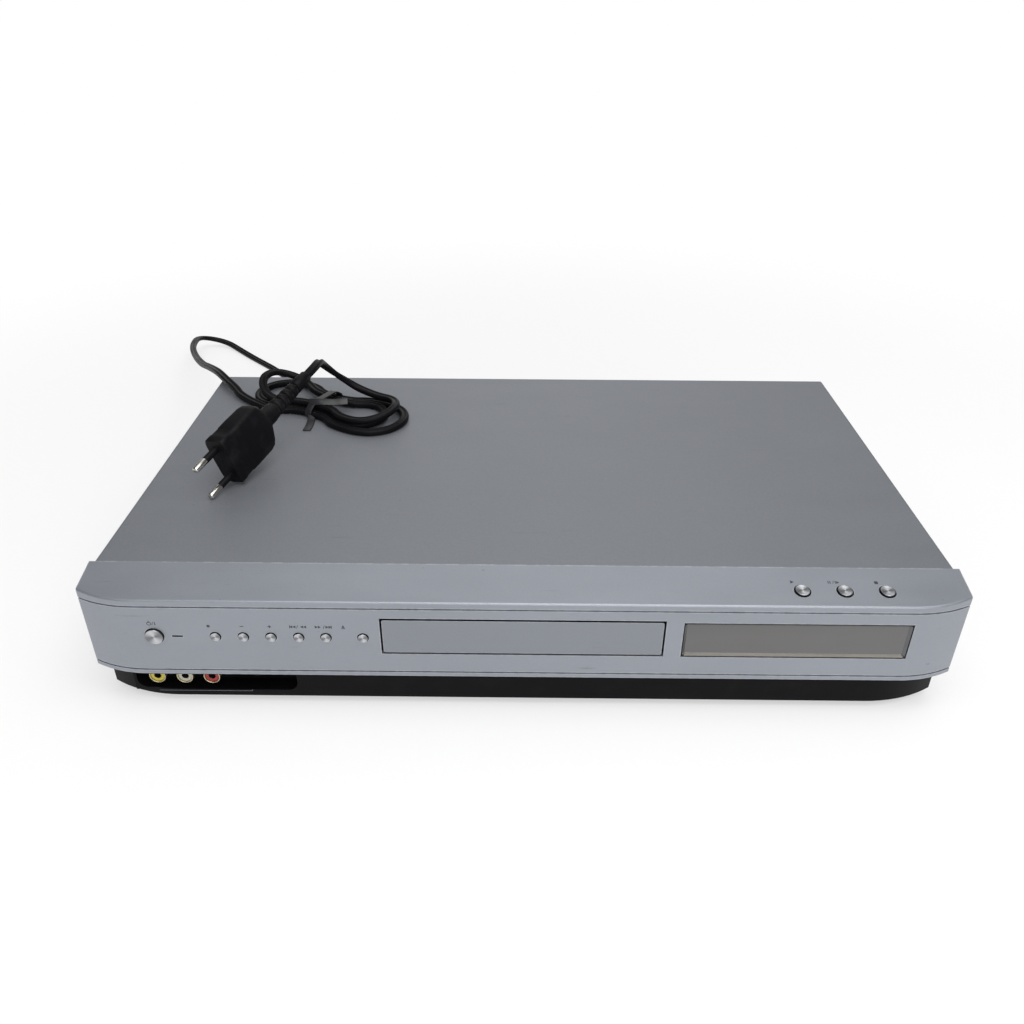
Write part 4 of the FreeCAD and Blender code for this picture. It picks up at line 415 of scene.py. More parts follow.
def hank_points():
    """The turns of the hank: inwards in the low layer, then outwards in the high one."""
    spots = [hank_place(-LOOP_AT - 5.2, -OUTER_LANE[0][1], HANK_LOW)]
    for number, ((flare, waist), low, high, new_lane, reach, lifts) in enumerate(HANK_LAPS):
        way = -1 if number % 2 else 1
        for (s, t), sign, share in ((flare, -1, 0.0), (waist, -1, 0.2), (waist, 1, 0.8), (flare, 1, 1.0)):
            spots.append(hank_place(way * sign * s, -way * t, low + share * (high - low)))
        here, there = flare[1], new_lane[0][1]
        corner = (here + there) / 2 / cos(radians(22.5))
        for turn, lift in zip((-67.5, -22.5, 22.5, 67.5), lifts):
            s = LOOP_AT + reach + corner * cos(radians(turn))
            t = (there - here) / 2 + corner * sin(radians(turn))
            spots.append(hank_place(way * s, way * t, high + lift))
    spots.append(hank_place(LOOP_AT - 1.2, OUTER_LANE[0][1], HANK_HIGH + 0.6))
    return spots


def plug_matrix():
    """From the plug's own frame, whose y runs from its face to its relief, to the object's."""
    place = Matrix.Translation(at(PLUG_FACE[0], PLUG_FACE[1], TOP + PLUG_FACE[2]))
    about_z, about_x, about_y = (
        Matrix.Rotation(radians(turn), 4, axis) for turn, axis in zip(PLUG_TURN, "ZXY")
    )
    return place @ (about_z @ about_x @ about_y)


def lead_points():
    into = plug_matrix()
    tail = [into @ Vector((0.0, (PLUG_LENGTH + reach) * MM, 0.0)) for reach in (10.0, 0.0, -6.0)]
    rise = [at(x, depth, TOP + z) for x, depth, z in LEAD_OUT]
    return [at(*spot) for spot in LEAD_IN] + hank_points() + rise + tail


def spline_object(name, spots, cyclic=False):
    """A curve of one NURBS spline on its control points."""
    data = bpy.data.curves.new(name, "CURVE")
    data.dimensions = "3D"
    data.resolution_u = 10
    line = data.splines.new("NURBS")
    line.points.add(len(spots) - 1)
    for point, spot in zip(line.points, spots):
        point.co = (*spot, 1.0)
    line.use_cyclic_u = cyclic
    line.order_u = 3
    line.use_endpoint_u = not cyclic
    return linked(name, data)


def evaluated(made):
    bpy.context.view_layer.update()
    graph = bpy.context.evaluated_depsgraph_get()
    return bpy.data.meshes.new_from_object(made.evaluated_get(graph))


class RecorderLead(PropertyGroup):
    width: number_setting("Width", "Width of the flat lead", 0.0052, min=0.001, unit="LENGTH")
    thickness: number_setting("Thickness", "Thickness of the flat lead", 0.0036, min=0.001, unit="LENGTH")
    colour: colour_setting("Vinyl", "Colour of the lead and plug", (0.0038, 0.0037, 0.0048))


class RECORDER_OT_lead(Operator):
    """Lays the flat two-core mains lead from the case through its hank to the plug"""

    bl_idname = "recorder.lead"
    bl_label = "Mains lead"

    def execute(self, context):
        settings = context.scene.recorder_lead
        route = spline_object("lead_route", lead_points())
        path = [tuple(spot.co) for spot in evaluated(route).vertices]
        half, thick = settings.width / 2, settings.thickness / 2
        outline = (
            (1.06, 0.0), (1.0, 0.78), (0.52, 1.12), (0.0, 0.62), (-0.52, 1.12), (-1.0, 0.78), (-1.06, 0.0),
            (-1.0, -0.78), (-0.52, -1.12), (0.0, -0.62), (0.52, -1.12), (1.0, -0.78),
        )
        spots = [(across * half, up * thick, 0.0) for across, up in outline]
        profile = spline_object("lead_section", spots, cyclic=True)
        profile.data.resolution_u = 3
        route.data.twist_mode = "Z_UP"
        route.data.bevel_mode = "OBJECT"
        route.data.bevel_object = profile
        route.data.use_fill_caps = True
        mesh = evaluated(route)
        work = bmesh.new()
        work.from_mesh(mesh)
        ops.remove_doubles(work, verts=work.verts, dist=1e-6)
        outward(work)
        for spare in (route, profile):
            bpy.data.objects.remove(spare)
        vinyl = moulded(
            "black_vinyl", 0.25, Colour=settings.colour, Grain_Scale=700.0, Gloss=0.46, Dust=0.006, Wear=0.0,
            Specular=0.12
        )
        lead = piece("mains_lead", work, [vinyl], "case")
        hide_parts("cord_lead_in", "cord_hank", "cord_lead_out")
        return {"FINISHED"}


STRAP_BEND = 0.0017
STRAP_THICK = 0.0009


def band(spots, along, closed):
    """A thin strap through the spots, as wide as the step along, with rounded bends and edges."""
    work = bmesh.new()
    spots = [work.verts.new(spot) for spot in spots]
    pairs = list(zip(spots, spots[1:])) + ([(spots[-1], spots[0])] if closed else [])
    made = ops.extrude_edge_only(work, edges=[work.edges.new(pair) for pair in pairs])["geom"]
    shift(work, made, along)
    cross = [edge for edge in work.edges if len(edge.link_faces) == 2]
    rounded(work, cross, STRAP_BEND, 6)
    outward(work)
    ops.solidify(work, geom=list(work.faces), thickness=STRAP_THICK)
    rims = [edge for edge in work.edges if edge.is_manifold and edge.calc_face_angle(0.0) > 1.2]
    rounded(work, rims, 0.0002, 2)
    outward(work)
    return work


class RECORDER_OT_strap(Operator):
    """Closes the smooth strap round the waist of the hank"""

    bl_idname = "recorder.strap"
    bl_label = "Strap"

    def execute(self, context):
        round_hank = ((-17.0, 0.25), (17.0, 0.25), (17.0, 4.4), (11.4, 8.5), (-11.6, 8.5), (-17.0, 4.4))
        spots = [hank_place(-2.4, t, z) for t, z in round_hank]
        along = hank_place(2.4, 0.0, 0.0) - hank_place(-2.4, 0.0, 0.0)
        work = band(spots, along, True)
        tails = (
            ((-1.0, -13.5, 7.6), ((8, -0.8, 0.6), (17, 0.2, -0.2), (25, 0.8, 0.5)), (-0.5, 3.3, 3.0)),
            ((-0.4, -16.4, 3.6), ((0.4, -4.5, -2.9), (0.8, -13, -3), (0.4, -20, -2.8)), (5.0, 0.4, 0.2)),
        )
        for start, route, across in tails:
            route = [hank_place(*start) + Vector(step) * MM for step in ((0, 0, 0), *route)]
            absorb(work, band(route, Vector(across) * MM, False))
        smooth_vinyl = moulded(
            "strap_vinyl", 0.1, Colour=(0.012, 0.012, 0.014), Grain_Scale=400.0, Gloss=0.36, Dust=0.01,
            Wear=0.0
        )
        strap = piece("lead_strap", work, [smooth_vinyl], "case")
        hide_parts("cord_tie")
        return {"FINISHED"}


def soft_box(turn, y, width, thick, power):
    """A rounded rectangle across the plug, with a fine ridge where its two mould halves meet."""
    c, s = cos(turn), sin(turn)
    x = math.copysign(abs(c) ** (2 / power), c) * width / 2
    z = math.copysign(abs(s) ** (2 / power), s) * thick / 2
    if abs(s) < 0.05 and power > 2.5:
        x += math.copysign(0.12, c)
    return x, y, z


# Distance from the plug's face, width, thickness and squareness, in millimetres
PLUG_BODY = (
    (0.0, 27.6, 12.6, 6.0), (0.3, 29.0, 14.0, 6.0), (0.9, 29.8, 14.8, 6.0), (5.2, 30.0, 15.0, 6.0),
    (5.8, 29.5, 14.5, 6.0), (11.5, 29.3, 14.2, 6.0), (12.2, 29.8, 14.8, 6.0), (18.0, 30.0, 15.0, 6.0),
    (30.0, 29.9, 14.9, 5.6), (33.2, 29.0, 14.5, 4.8), (35.4, 25.6, 13.8, 3.8), (37.2, 19.6, 12.9, 2.8),
    (38.6, 12.8, 11.8, 2.2), (40.0, 11.2, 11.2, 2.0), (44.8, 11.2, 11.2, 2.0), (46.0, 10.6, 10.6, 2.0),
)
PIN_SLEEVE = ((0.4, 4.0), (-0.6, 4.0), (-9.8, 4.0), (-10.0, 3.8))
PIN_TIP = ((-10.1, 3.9), (-17.8, 3.9), (-18.5, 3.4), (-18.9, 2.2), (-19.0, 0.8))
RIBS = 5
RIB_FIRST = 49.0
RIB_PITCH = 5.2
# Distance from a rib's start, and how much thinner the relief is there
RIB_STEPS = ((-0.3, 0.0), (0.0, 0.5), (0.25, 2.0), (1.35, 2.1), (1.6, 0.6), (1.9, 0.1))


class RECORDER_OT_plug(Operator):
    """Moulds the mains plug with its ribbed relief, sleeved pins and bright tips"""

    bl_idname = "recorder.plug"
    bl_label = "Mains plug"

    def execute(self, context):
        rings = list(PLUG_BODY)
        for index in range(RIBS):
            start = RIB_FIRST + index * RIB_PITCH
            full = 10.4 - 3.2 * (start - 46.0) / 38.0
            rings += [(start + ahead, full - less, full - less, 2.0) for ahead, less in RIB_STEPS]
        rings += [(83.4, 7.3, 7.3, 2.0), (84.0, 6.4, 6.4, 2.0)]
        work = lofted(rings, soft_box)
        body_faces = len(work.faces)
        for side in (-1, 1):
            absorb(work, lofted([(*ring, side) for ring in PIN_SLEEVE + PIN_TIP], pin_section, 24))
        work.faces.ensure_lookup_table()
        for face in work.faces[body_faces:]:
            if face.calc_center_median().y < -0.01005:
                face.material_index = 1
        sharp_edges(work, 50.0)
        vinyl = moulded(
            "plug_vinyl", 0.3, Colour=context.scene.recorder_lead.colour, Grain_Scale=1100.0, Dust=0.015,
            Wear=0.05, Specular=0.13
        )
        nickel = plated(
            "pin_nickel", 0.1, Colour=(0.62, 0.6, 0.56), Crystal_Scale=900.0, Crystals=0.05, Gloss=0.24,
            Metallic=1.0
        )
        plug = piece("mains_plug_body", work, [vinyl, nickel], "case", place=plug_matrix())
        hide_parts("mains_plug")
        return {"FINISHED"}


def pin_section(turn, y, size, side):
    return side * PIN_ASIDE + cos(turn) * size / 2, y, sin(turn) * size / 2


# Case


class RecorderCase(PropertyGroup):
    silver: colour_setting("Silver", "Paint of the front and tray door", (0.284, 0.301, 0.336))
    # The cover's grey is set darker than the front's silver: partly its own paint, partly painted shade for
    # the lesser light on the top.
    cover: colour_setting("Cover", "Paint of the top cover", (0.206, 0.217, 0.238))
    strip: colour_setting("Strip", "Plastic of the lower strip", (0.0034, 0.0034, 0.0042))
    flake: number_setting("Flake", "Strength of the paint's flake", 0.16, subtype="FACTOR")


class RECORDER_OT_case(Operator):
    """Paints the front, door and cover and finishes the strip, feet, panel and screws"""

    bl_idname = "recorder.case"
    bl_label = "Case"

    def execute(self, context):
        settings = context.scene.recorder_case
        # The front, door and cover lighten along their edges: a painted highlight along the brow and the seam
        # as well as rubbed paint.
        painted(
            "silver_paint", 0.08, ["front_fascia"], Colour=settings.silver, Flake=settings.flake, Mottle=0.16,
            Wear=0.55, Scuffs=0.32, Metallic=0.62, Coat_Weight=0.08, Coat_Roughness=0.25
        )
        painted(
            "cover_paint", 0.12, ["top_cover"], Colour=settings.cover, Flake=settings.flake * 1.3,
            Flake_Scale=1300.0, Mottle=0.08, Wear=0.35, Scuffs=0.25, Gloss=0.5, Metallic=0.45
        )
        moulded(
            "charcoal_strip", 0.15, ["lower_fascia"], Colour=settings.strip, Gloss=0.42, Dust=0.004,
            Wear=0.02, Specular=0.08
        )
        moulded(
            "foot_rubber", 0.4, ["foot_pads"], Colour=(0.02, 0.02, 0.02), Grain_Scale=500.0, Gloss=0.8,
            Dust=0.1
        )
        plated(
            "zinc_plate", 0.06, ["bottom_chassis", "rear_panel", "clamp_bridge"], Colour=(0.42, 0.43, 0.44),
            Crystals=0.16, Gloss=0.42, Metallic=0.8
        )
        plated(
            "screw_steel", 0.1, ["case_screws"], Colour=(0.4, 0.41, 0.43), Crystal_Scale=1600.0, Crystals=0.1,
            Gloss=0.3, Metallic=1.0
        )
        moulded(
            "grommet_rubber", 0.3, ["cord_grommet"], Colour=(0.014, 0.014, 0.014), Grain_Scale=900.0,
            Gloss=0.6, Dust=0.05
        )
        door = painted(
            "door_paint", 0.08, ["tray_door"], Colour=[0.83 * value for value in settings.silver],
            Flake=settings.flake, Wear=0.4, Metallic=0.62, Coat_Weight=0.08, Coat_Roughness=0.25
        )
        # The door's faces that do not face the front are blended to near black: painted shade in the gap
        # round the door.
        tree = door.node_tree
        surface = tree.nodes["Principled BSDF"]
        normal = add(tree, "NewGeometry").outputs["Normal"]
        facing = add(tree, "SeparateXYZ", {0: normal}).outputs["Y"]
        edge = steps(tree, facing, -0.9, -0.6)
        paint = surface.inputs["Base Color"].links[0].from_socket
        tree.links.new(blend(tree, edge, paint, (0.006, 0.006, 0.007)), surface.inputs["Base Color"])
        return {"FINISHED"}


# Controls on the front


def spun_effect():
    """Turned metal: fans of painted highlight and painted shade round the middle, with fine rings."""
    tree, take, give = effect("spun_metal", Colour=(0.6, 0.6, 0.6), Fans=0.5, Rings=150.0, Gloss=0.26)
    centred = add(
        tree, "VectorMath", {0: take["Vector"], 1: (0.5, 0.5, 0.0)}, operation="SUBTRACT"
    ).outputs[0]
    turn = add(tree, "TexGradient", {"Vector": centred}, gradient_type="RADIAL").outputs["Fac"]
    reach = add(tree, "VectorMath", {0: centred}, operation="LENGTH").outputs["Value"]
    # The fans are painted highlight and shade in the colour, turned the same way on every cap.
    fan = calc(tree, "COSINE", raised(tree, turn, 2 * math.tau, -3.84))
    polar = add(tree, "CombineXYZ", {"X": times(tree, turn, 60.0), "Y": reach}).outputs[0]
    streak = noise(tree, polar, 2.0, 3.0)
    ring = calc(tree, "SINE", times(tree, reach, take["Rings"]))
    tone = raised(tree, fan, take["Fans"], 1.0)
    colour = tinted(tree, take["Colour"], vary(tree, streak, 0.25, tone))
    rough = raised(tree, streak, 0.12, take["Gloss"])
    give(Colour=colour, Roughness=rough, Height=ring)


class RecorderKeys(PropertyGroup):
    cap: colour_setting("Caps", "Metal of the key caps", (0.37, 0.38, 0.395))
    ink: colour_setting("Ink", "Ink of the small marks", (0.035, 0.035, 0.042))
    mark_size: number_setting("Mark size", "Height of the small marks", 0.0018, min=0.0003, unit="LENGTH")


ROW = 45.8
BROW_TILT = radians(10.88)
FRONT_KEYS = {
    "power_button": (-179.0, 4.4, 1.2),
    "record_button": (-149.3, 2.5, 0.8),
    "program_down_button": (-135.7, 2.5, 0.8),
    "program_up_button": (-122.2, 2.5, 0.8),
    "rewind_button": (-108.8, 2.5, 0.8),
    "forward_button": (-95.5, 2.5, 0.8),
    "open_close_button": (-77.5, 2.5, 0.8),
}
WINDOW_SIZE = (110.0, 20.8)
WINDOW_PLACE = (132.6, 3.6, 46.2)
WINDOW_CORNER = 0.0023
WINDOW_THICK = 0.0034
TOP_KEYS = {"play_button": 134.3, "pause_button": 154.7, "stop_button": 175.1}


def on_front(x, depth, z):
    """From a flat drawing, with its z towards the viewer, to a place on the front."""
    return Matrix.Translation(at(x, depth, z)) @ Matrix.Rotation(radians(90.0), 4, "X")


def on_brow(x, depth, lift=0.0):
    z = TOP - 4.9 + depth * math.tan(BROW_TILT)
    return Matrix.Translation(at(x, depth, z + lift)) @ Matrix.Rotation(BROW_TILT, 4, "X")


def key_cap(name, radius, proud, place, metal, side):
    """A spun cap with a shallow dish, its flange and the stem that presses the switch."""
    profile = (
        (0.0, -8.6), (1.05, -8.6), (1.2, -8.45), (1.2, -4.0), (radius + 1.1, -4.0), (radius + 1.2, -3.9),
        (radius + 1.2, -3.1), (radius + 1.1, -3.0), (radius, -3.0), (radius, proud - 0.34),
        (radius - 0.06, proud - 0.16), (radius - 0.2, proud - 0.04), (radius - 0.38, proud),
        (radius - 0.6, proud - 0.05), (radius * 0.55, proud - 0.16), (radius * 0.25, proud - 0.2),
        (0.0, proud - 0.21),
    )
    work = spun(profile)
    sheet = work.loops.layers.uv.new("cap_map")
    for face in work.faces:
        # Faces that do not face along the axis (the sides of the cap, flange and stem) take the near-black
        # side metal: painted shade in the gap round each cap.
        face.material_index = int(abs(face.normal.z) < 0.5)
        for corner in face.loops:
            corner[sheet].uv = corner.vert.co.xy / (2 * radius * MM) + Vector((0.5, 0.5))
    sharp_edges(work, 60.0)
    cap = piece(name + "_cap", work, [metal, side], name + "_body", place=place)
    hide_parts(name)


class RECORDER_OT_keys(Operator):
    """Turns the ten bright key caps that travel in the front and the brow"""

    bl_idname = "recorder.keys"
    bl_label = "Keys"

    def execute(self, context):
        metal = finish(
            "spun_metal", "key_metal", 0.2, source="UV", Colour=context.scene.recorder_keys.cap, Metallic=0.85
        )
        # A near-black metal for the caps' sides, standing in for the shade in the gap round each cap.
        side = plated(
            "key_side", 0.05, Colour=(0.03, 0.03, 0.033), Crystal_Scale=1500.0, Gloss=0.4, Metallic=0.6,
            Specular=0.2
        )
        for name, (x, radius, proud) in FRONT_KEYS.items():
            key_cap(name, radius, proud, on_front(x, 0.0, ROW), metal, side)
        for name, x in TOP_KEYS.items():
            key_cap(name, 3.5, 0.9, on_brow(x, 10.0), metal, side)
        return {"FINISHED"}


def bar(work, x, y, width, height, turn=0.0):
    place = Matrix.Translation((x, y, 0.0)) @ Matrix.Rotation(radians(turn), 4, "Z")
    size = Matrix.Diagonal((width, height, 1.0, 1.0))
    ops.create_grid(work, x_segments=1, y_segments=1, size=0.5, matrix=place @ size)


def disc(work, x, y, radius, sides=24, turn=0.0):
    place = Matrix.Translation((x, y, 0.0)) @ Matrix.Rotation(radians(turn), 4, "Z")
    made = ops.create_circle(work, segments=sides, radius=radius, cap_ends=True, matrix=place)
    return made["verts"][0].link_faces[0]


def arrows(work, x, way, count=2, size=0.55):
    for index in range(count):
        disc(work, x + way * index * size * 1.5, 0.0, size, 3, -90.0 * way)


def thicken(work, height):
    """Raises flat faces towards the viewer and gives what that made."""
    made = ops.extrude_face_region(work, geom=list(work.faces))["geom"]
    shift(work, made, (0.0, 0.0, height))
    outward(work)
    return made


INK_THICK = 0.03


def mark(*draw):
    """Thin printed shapes: each drawing call adds flat faces in millimetres."""
    work = bmesh.new()
    for shape, values in draw:
        shape(work, *values)
    thicken(work, INK_THICK)
    ops.scale(work, vec=(MM, MM, MM), verts=work.verts)
    return work


def ring(work, x, y, radius, width):
    face = disc(work, x, y, radius)
    ops.inset_region(work, faces=[face], thickness=width, use_boundary=True)
    ops.delete(work, geom=[face], context="FACES")


class RECORDER_OT_marks(Operator):
    """Prints the small plain signs over the keys and the line under the sockets"""

    bl_idname = "recorder.marks"
    bl_label = "Marks"

    def execute(self, context):
        settings = context.scene.recorder_keys
        ink = moulded("mark_ink", 0.05, Colour=settings.ink, Dust=0.1, Wear=0.0)
        pale = moulded("pale_ink", 0.05, Colour=(0.17, 0.175, 0.19), Dust=0.1, Wear=0.0)
        size = settings.mark_size / MM
        thin, tip = size * 0.24, size * 0.55
        slash = (bar, (0.0, 0.0, thin * 0.7, size * 1.1, -20.0))
        skip = ((arrows, (-3.9, 1, 2, tip)), slash, (arrows, (1.3, 1, 2, tip)), (bar, (3.6, 0, thin, size)))
        stem = (bar, (-1.7, 1.1, 0.34, 1.2))
        standby = ((ring, (-1.7, 0, 1.1, 0.34)), stem, slash, (bar, (1.2, 0, 0.4, 2.0)))
        first, second, third = ((bar, (x, 0, thin, size)) for x in (-2.4, -1.5, 1.1))
        pause = (first, second, slash, third)
        dash, upright = (bar, (0, 0, size, thin)), (bar, (0, 0, thin, size))
        line = ROW + 6.4
        turned = Matrix.Rotation(math.pi, 4, "Z")
        marks = {
            "standby_mark": (on_front(-178.6, 0.01, ROW + 7.6), standby),
            "record_mark": (on_front(-151.8, 0.01, line), ((disc, (0, 0, size * 0.45)),)),
            "minus_mark": (on_front(-135.7, 0.01, line), (dash,)),
            "plus_mark": (on_front(-122.2, 0.01, line), (dash, upright)),
            "rewind_mark": (on_front(-108.8, 0.01, line) @ turned, skip),
            "forward_mark": (on_front(-95.9, 0.01, line), skip),
            "eject_mark": (
                on_front(-86.6, 0.01, line),
                ((disc, (0, 0.25, tip, 3)), (bar, (0, -size * 0.45, size, thin))),
            ),
            "play_mark": (on_brow(130.2, 15.8, -0.01), ((arrows, (0, 1, 1, tip * 1.2)),)),
            "pause_mark": (on_brow(150.4, 15.8, -0.01), (*pause, (arrows, (2.0, 1, 1, tip)))),
            "stop_mark": (on_brow(171.2, 15.8, -0.01), ((bar, (0, 0, size, size)),)),
        }
        for name, (place, drawing) in marks.items():
            piece(name, mark(*drawing), [ink], "case", False, place)
        drawing = ((bar, (-4.3, 0, 47.6, 0.2)), (bar, (19.4, 0.4, 0.2, 1.0)))
        made = piece("socket_line", mark(*drawing), [pale], "case", False, on_front(-157.0, 3.41, 7.5))
        return {"FINISHED"}


class RECORDER_OT_window(Operator):
    """Finishes the smoked window, the display tube behind it and the dark status light"""

    bl_idname = "recorder.window"
    bl_label = "Display window"

    def execute(self, context):
        smoked = painted(
            "smoked_window", 0.02, Colour=(0.1, 0.097, 0.096), Flake=0.03, Mottle=0.2, Scuffs=0.3, Wear=0.0,
            Gloss=0.14, Coat_Weight=0.4, Coat_Roughness=0.04
        )
        # Two copies of one metal for the sloped walls inside the window: a lit one where they face up and a
        # shaded one elsewhere, as painted highlight and painted shade.
        lit_and_shaded_slopes = [
            plated(name, 0.03, Colour=tone, Crystal_Scale=900.0, Crystals=0.05, Gloss=0.22, Metallic=0.6)
            for name, tone in (("bevel_dark", (0.13, 0.13, 0.135)), ("bevel_lit", (0.17, 0.16, 0.143)))
        ]
        outline = moulded(
            "window_outline", 0.05, Colour=(0.008, 0.008, 0.008), Gloss=0.4, Wear=0.0, Specular=0.2
        )
        work = bmesh.new()
        bar(work, 0.0, 0.0, WINDOW_SIZE[0] * MM, WINDOW_SIZE[1] * MM)
        rounded(work, list(work.verts), WINDOW_CORNER, 8, "VERTICES")
        made = thicken(work, WINDOW_THICK)
        face = next(item for item in made if isinstance(item, bmesh.types.BMFace))
        # The thin outer ring is near black. Of the sloped walls, those that face up take the painted
        # highlight and the rest take the painted shade.
        for thickness, depth, index in ((0.0005, 0.0, 1), (0.0013, -0.0011, 2)):
            for wall in ops.inset_region(work, faces=[face], thickness=thickness, depth=depth)["faces"]:
                wall.material_index = index + (1 if index == 2 and wall.normal.y > 0.3 else 0)
        materials = [smoked, outline, *lit_and_shaded_slopes]
        window = piece("smoked_window_piece", work, materials, "case", False, on_front(*WINDOW_PLACE))
        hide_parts("display_window")
        moulded(
            "tube_glass", 0.02, ["display_tube"], Colour=(0.03, 0.045, 0.045), Gloss=0.12, Variation=0.3,
            Wear=0.0, Coat_Weight=0.6
        )
        moulded(
            "status_lens", 0.05, ["status_light"], Colour=(0.006, 0.005, 0.006), Gloss=0.3, Wear=0.0,
            Specular=0.2
        )
        return {"FINISHED"}


# Sockets

SOCKET_DEPTH = 4.4
SOCKET_ROW = 15.8
REAR_JACK = (80.0, 254.1, 22.0)


class RecorderSockets(PropertyGroup):
    video: colour_setting("Video", "Insulator of the video socket", (0.50, 0.42, 0.04))
    audio_left: colour_setting("Left", "Insulator of the left audio socket", (0.44, 0.42, 0.35))
    audio_right: colour_setting("Right", "Insulator of the right audio socket", (0.30, 0.012, 0.018))


def phono_socket(name, x, insulator, rim, body):
    """A phono socket: a rounded metal barrel round a coloured insulator, on its moulded body."""
    profile = (
        (0.0, -7.9), (1.65, -7.9), (1.65, -0.95), (1.78, -0.72), (2.0, -0.62), (3.45, -0.62), (3.62, -0.75),
        (3.63, -0.9), (3.66, -0.9), (3.66, -0.22), (3.76, -0.06), (3.92, 0.0), (4.05, -0.05), (4.15, -0.2),
        (4.15, -8.2), (0.0, -8.2),
    )
    work = spun(profile)
    for face in work.faces:
        middle = face.calc_center_median()
        reach = math.hypot(middle.x, middle.y) / MM
        face.material_index = 1 if reach > 3.6 else 2 if reach < 1.8 else 0
    sharp_edges(work, 50.0)
    first = len(work.faces)
    shape = Matrix.Translation((0.0, 0.0, -13.8 * MM)) @ Matrix.Diagonal((0.01, 0.01, 11.6 * MM, 1.0))
    made = ops.create_cube(work, size=1.0, matrix=shape)["verts"]
    edges = list({edge for spot in made for edge in spot.link_edges})
    rounded(work, edges, 0.0005, 2)
    work.faces.ensure_lookup_table()
    for face in work.faces[first:]:
        face.material_index = 2
    place = on_front(x, SOCKET_DEPTH, SOCKET_ROW)
    made = piece(name + "_piece", work, [insulator, rim, body], "case", place=place)
    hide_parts(name)
    return made


def rear_jack_effect():
    """Colours a block of phono sockets by the distance from each socket's axis."""
    tree, take, give = effect("jack_rings", METALLIC, Pitch=0.018, Row=0.02, Gloss=0.35)
    part = add(tree, "SeparateXYZ", {0: take["Vector"]}).outputs
    column = calc(tree, "DIVIDE", part["X"], take["Pitch"])
    aside = times(tree, calc(tree, "SUBTRACT", column, calc(tree, "ROUND", column)), take["Pitch"])
    level = calc(tree, "DIVIDE", part["Z"], take["Row"])
    above = times(tree, calc(tree, "SUBTRACT", level, calc(tree, "ROUND", level)), take["Row"])
    reach = calc(tree, "SQRT", calc(tree, "ADD", times(tree, aside, aside), times(tree, above, above)))
    outside = steps(tree, part["Y"], 0.0, 0.0002)
    barrel = times(tree, calc(tree, "LESS_THAN", reach, 0.0043), outside)
    inner = times(tree, calc(tree, "LESS_THAN", reach, 0.00364), outside)
    grain = noise(tree, take["Vector"], 1200.0)
    hue = blend(tree, over(tree, column, 0.5), (0.55, 0.42, 0.015), (0.6, 0.58, 0.54))
    hue = blend(tree, over(tree, column, 1.5), hue, (0.38, 0.012, 0.016))
    colour = blend(tree, barrel, (0.015, 0.015, 0.016), (0.55, 0.53, 0.48))
    colour = blend(tree, inner, colour, hue)
    colour = tinted(tree, colour, vary(tree, grain, 0.2, 1.0))
    metal = calc(tree, "SUBTRACT", barrel, inner)
    rough = raised(tree, grain, 0.1, take["Gloss"])
    give(Colour=colour, Metal=metal, Roughness=rough, Height=grain)


class RECORDER_OT_sockets(Operator):
    """Makes the front phono sockets and finishes the other sockets, front and rear"""

    bl_idname = "recorder.sockets"
    bl_label = "Sockets"

    def execute(self, context):
        settings = context.scene.recorder_sockets
        rim = plated(
            "socket_rim", 0.08, Colour=(0.62, 0.55, 0.36), Crystal_Scale=1400.0, Crystals=0.08, Gloss=0.22,
            Metallic=0.9
        )
        black = moulded(
            "socket_black", 0.12, ["scart_sockets"], Colour=(0.009, 0.009, 0.0095), Gloss=0.3, Dust=0.03
        )
        places = {
            "front_video_socket": (-185.2, settings.video, "yellow"),
            "front_audio_left_socket": (-171.2, settings.audio_left, "white"),
            "front_audio_right_socket": (-157.5, settings.audio_right, "red"),
        }
        for name, (x, colour, slot) in places.items():
            insulator = moulded(
                name + "_plastic", 0.1, Colour=colour, Gloss=0.32, Variation=0.15, Dust=0.12, Wear=0.1
            )
            phono_socket(name, x, insulator, rim, black)
        finish("jack_rings", "rear_jacks", 0.1, ["rear_jack_block"], mapping={"Location": -at(*REAR_JACK)})
        moulded(
            "front_socket_black", 0.1, ["front_svideo_socket", "front_dv_socket"],
            Colour=(0.022, 0.022, 0.024), Gloss=0.18, Dust=0.05, Wear=0.2, Coat_Weight=0.3
        )
        plated(
            "tinned_can", 0.08, ["tuner_module", "loading_motor", "sled_motor", "spindle_motor"],
            Colour=(0.52, 0.52, 0.51), Crystal_Scale=300.0, Crystals=0.1, Gloss=0.34, Metallic=0.9
        )
        return {"FINISHED"}


# Inside


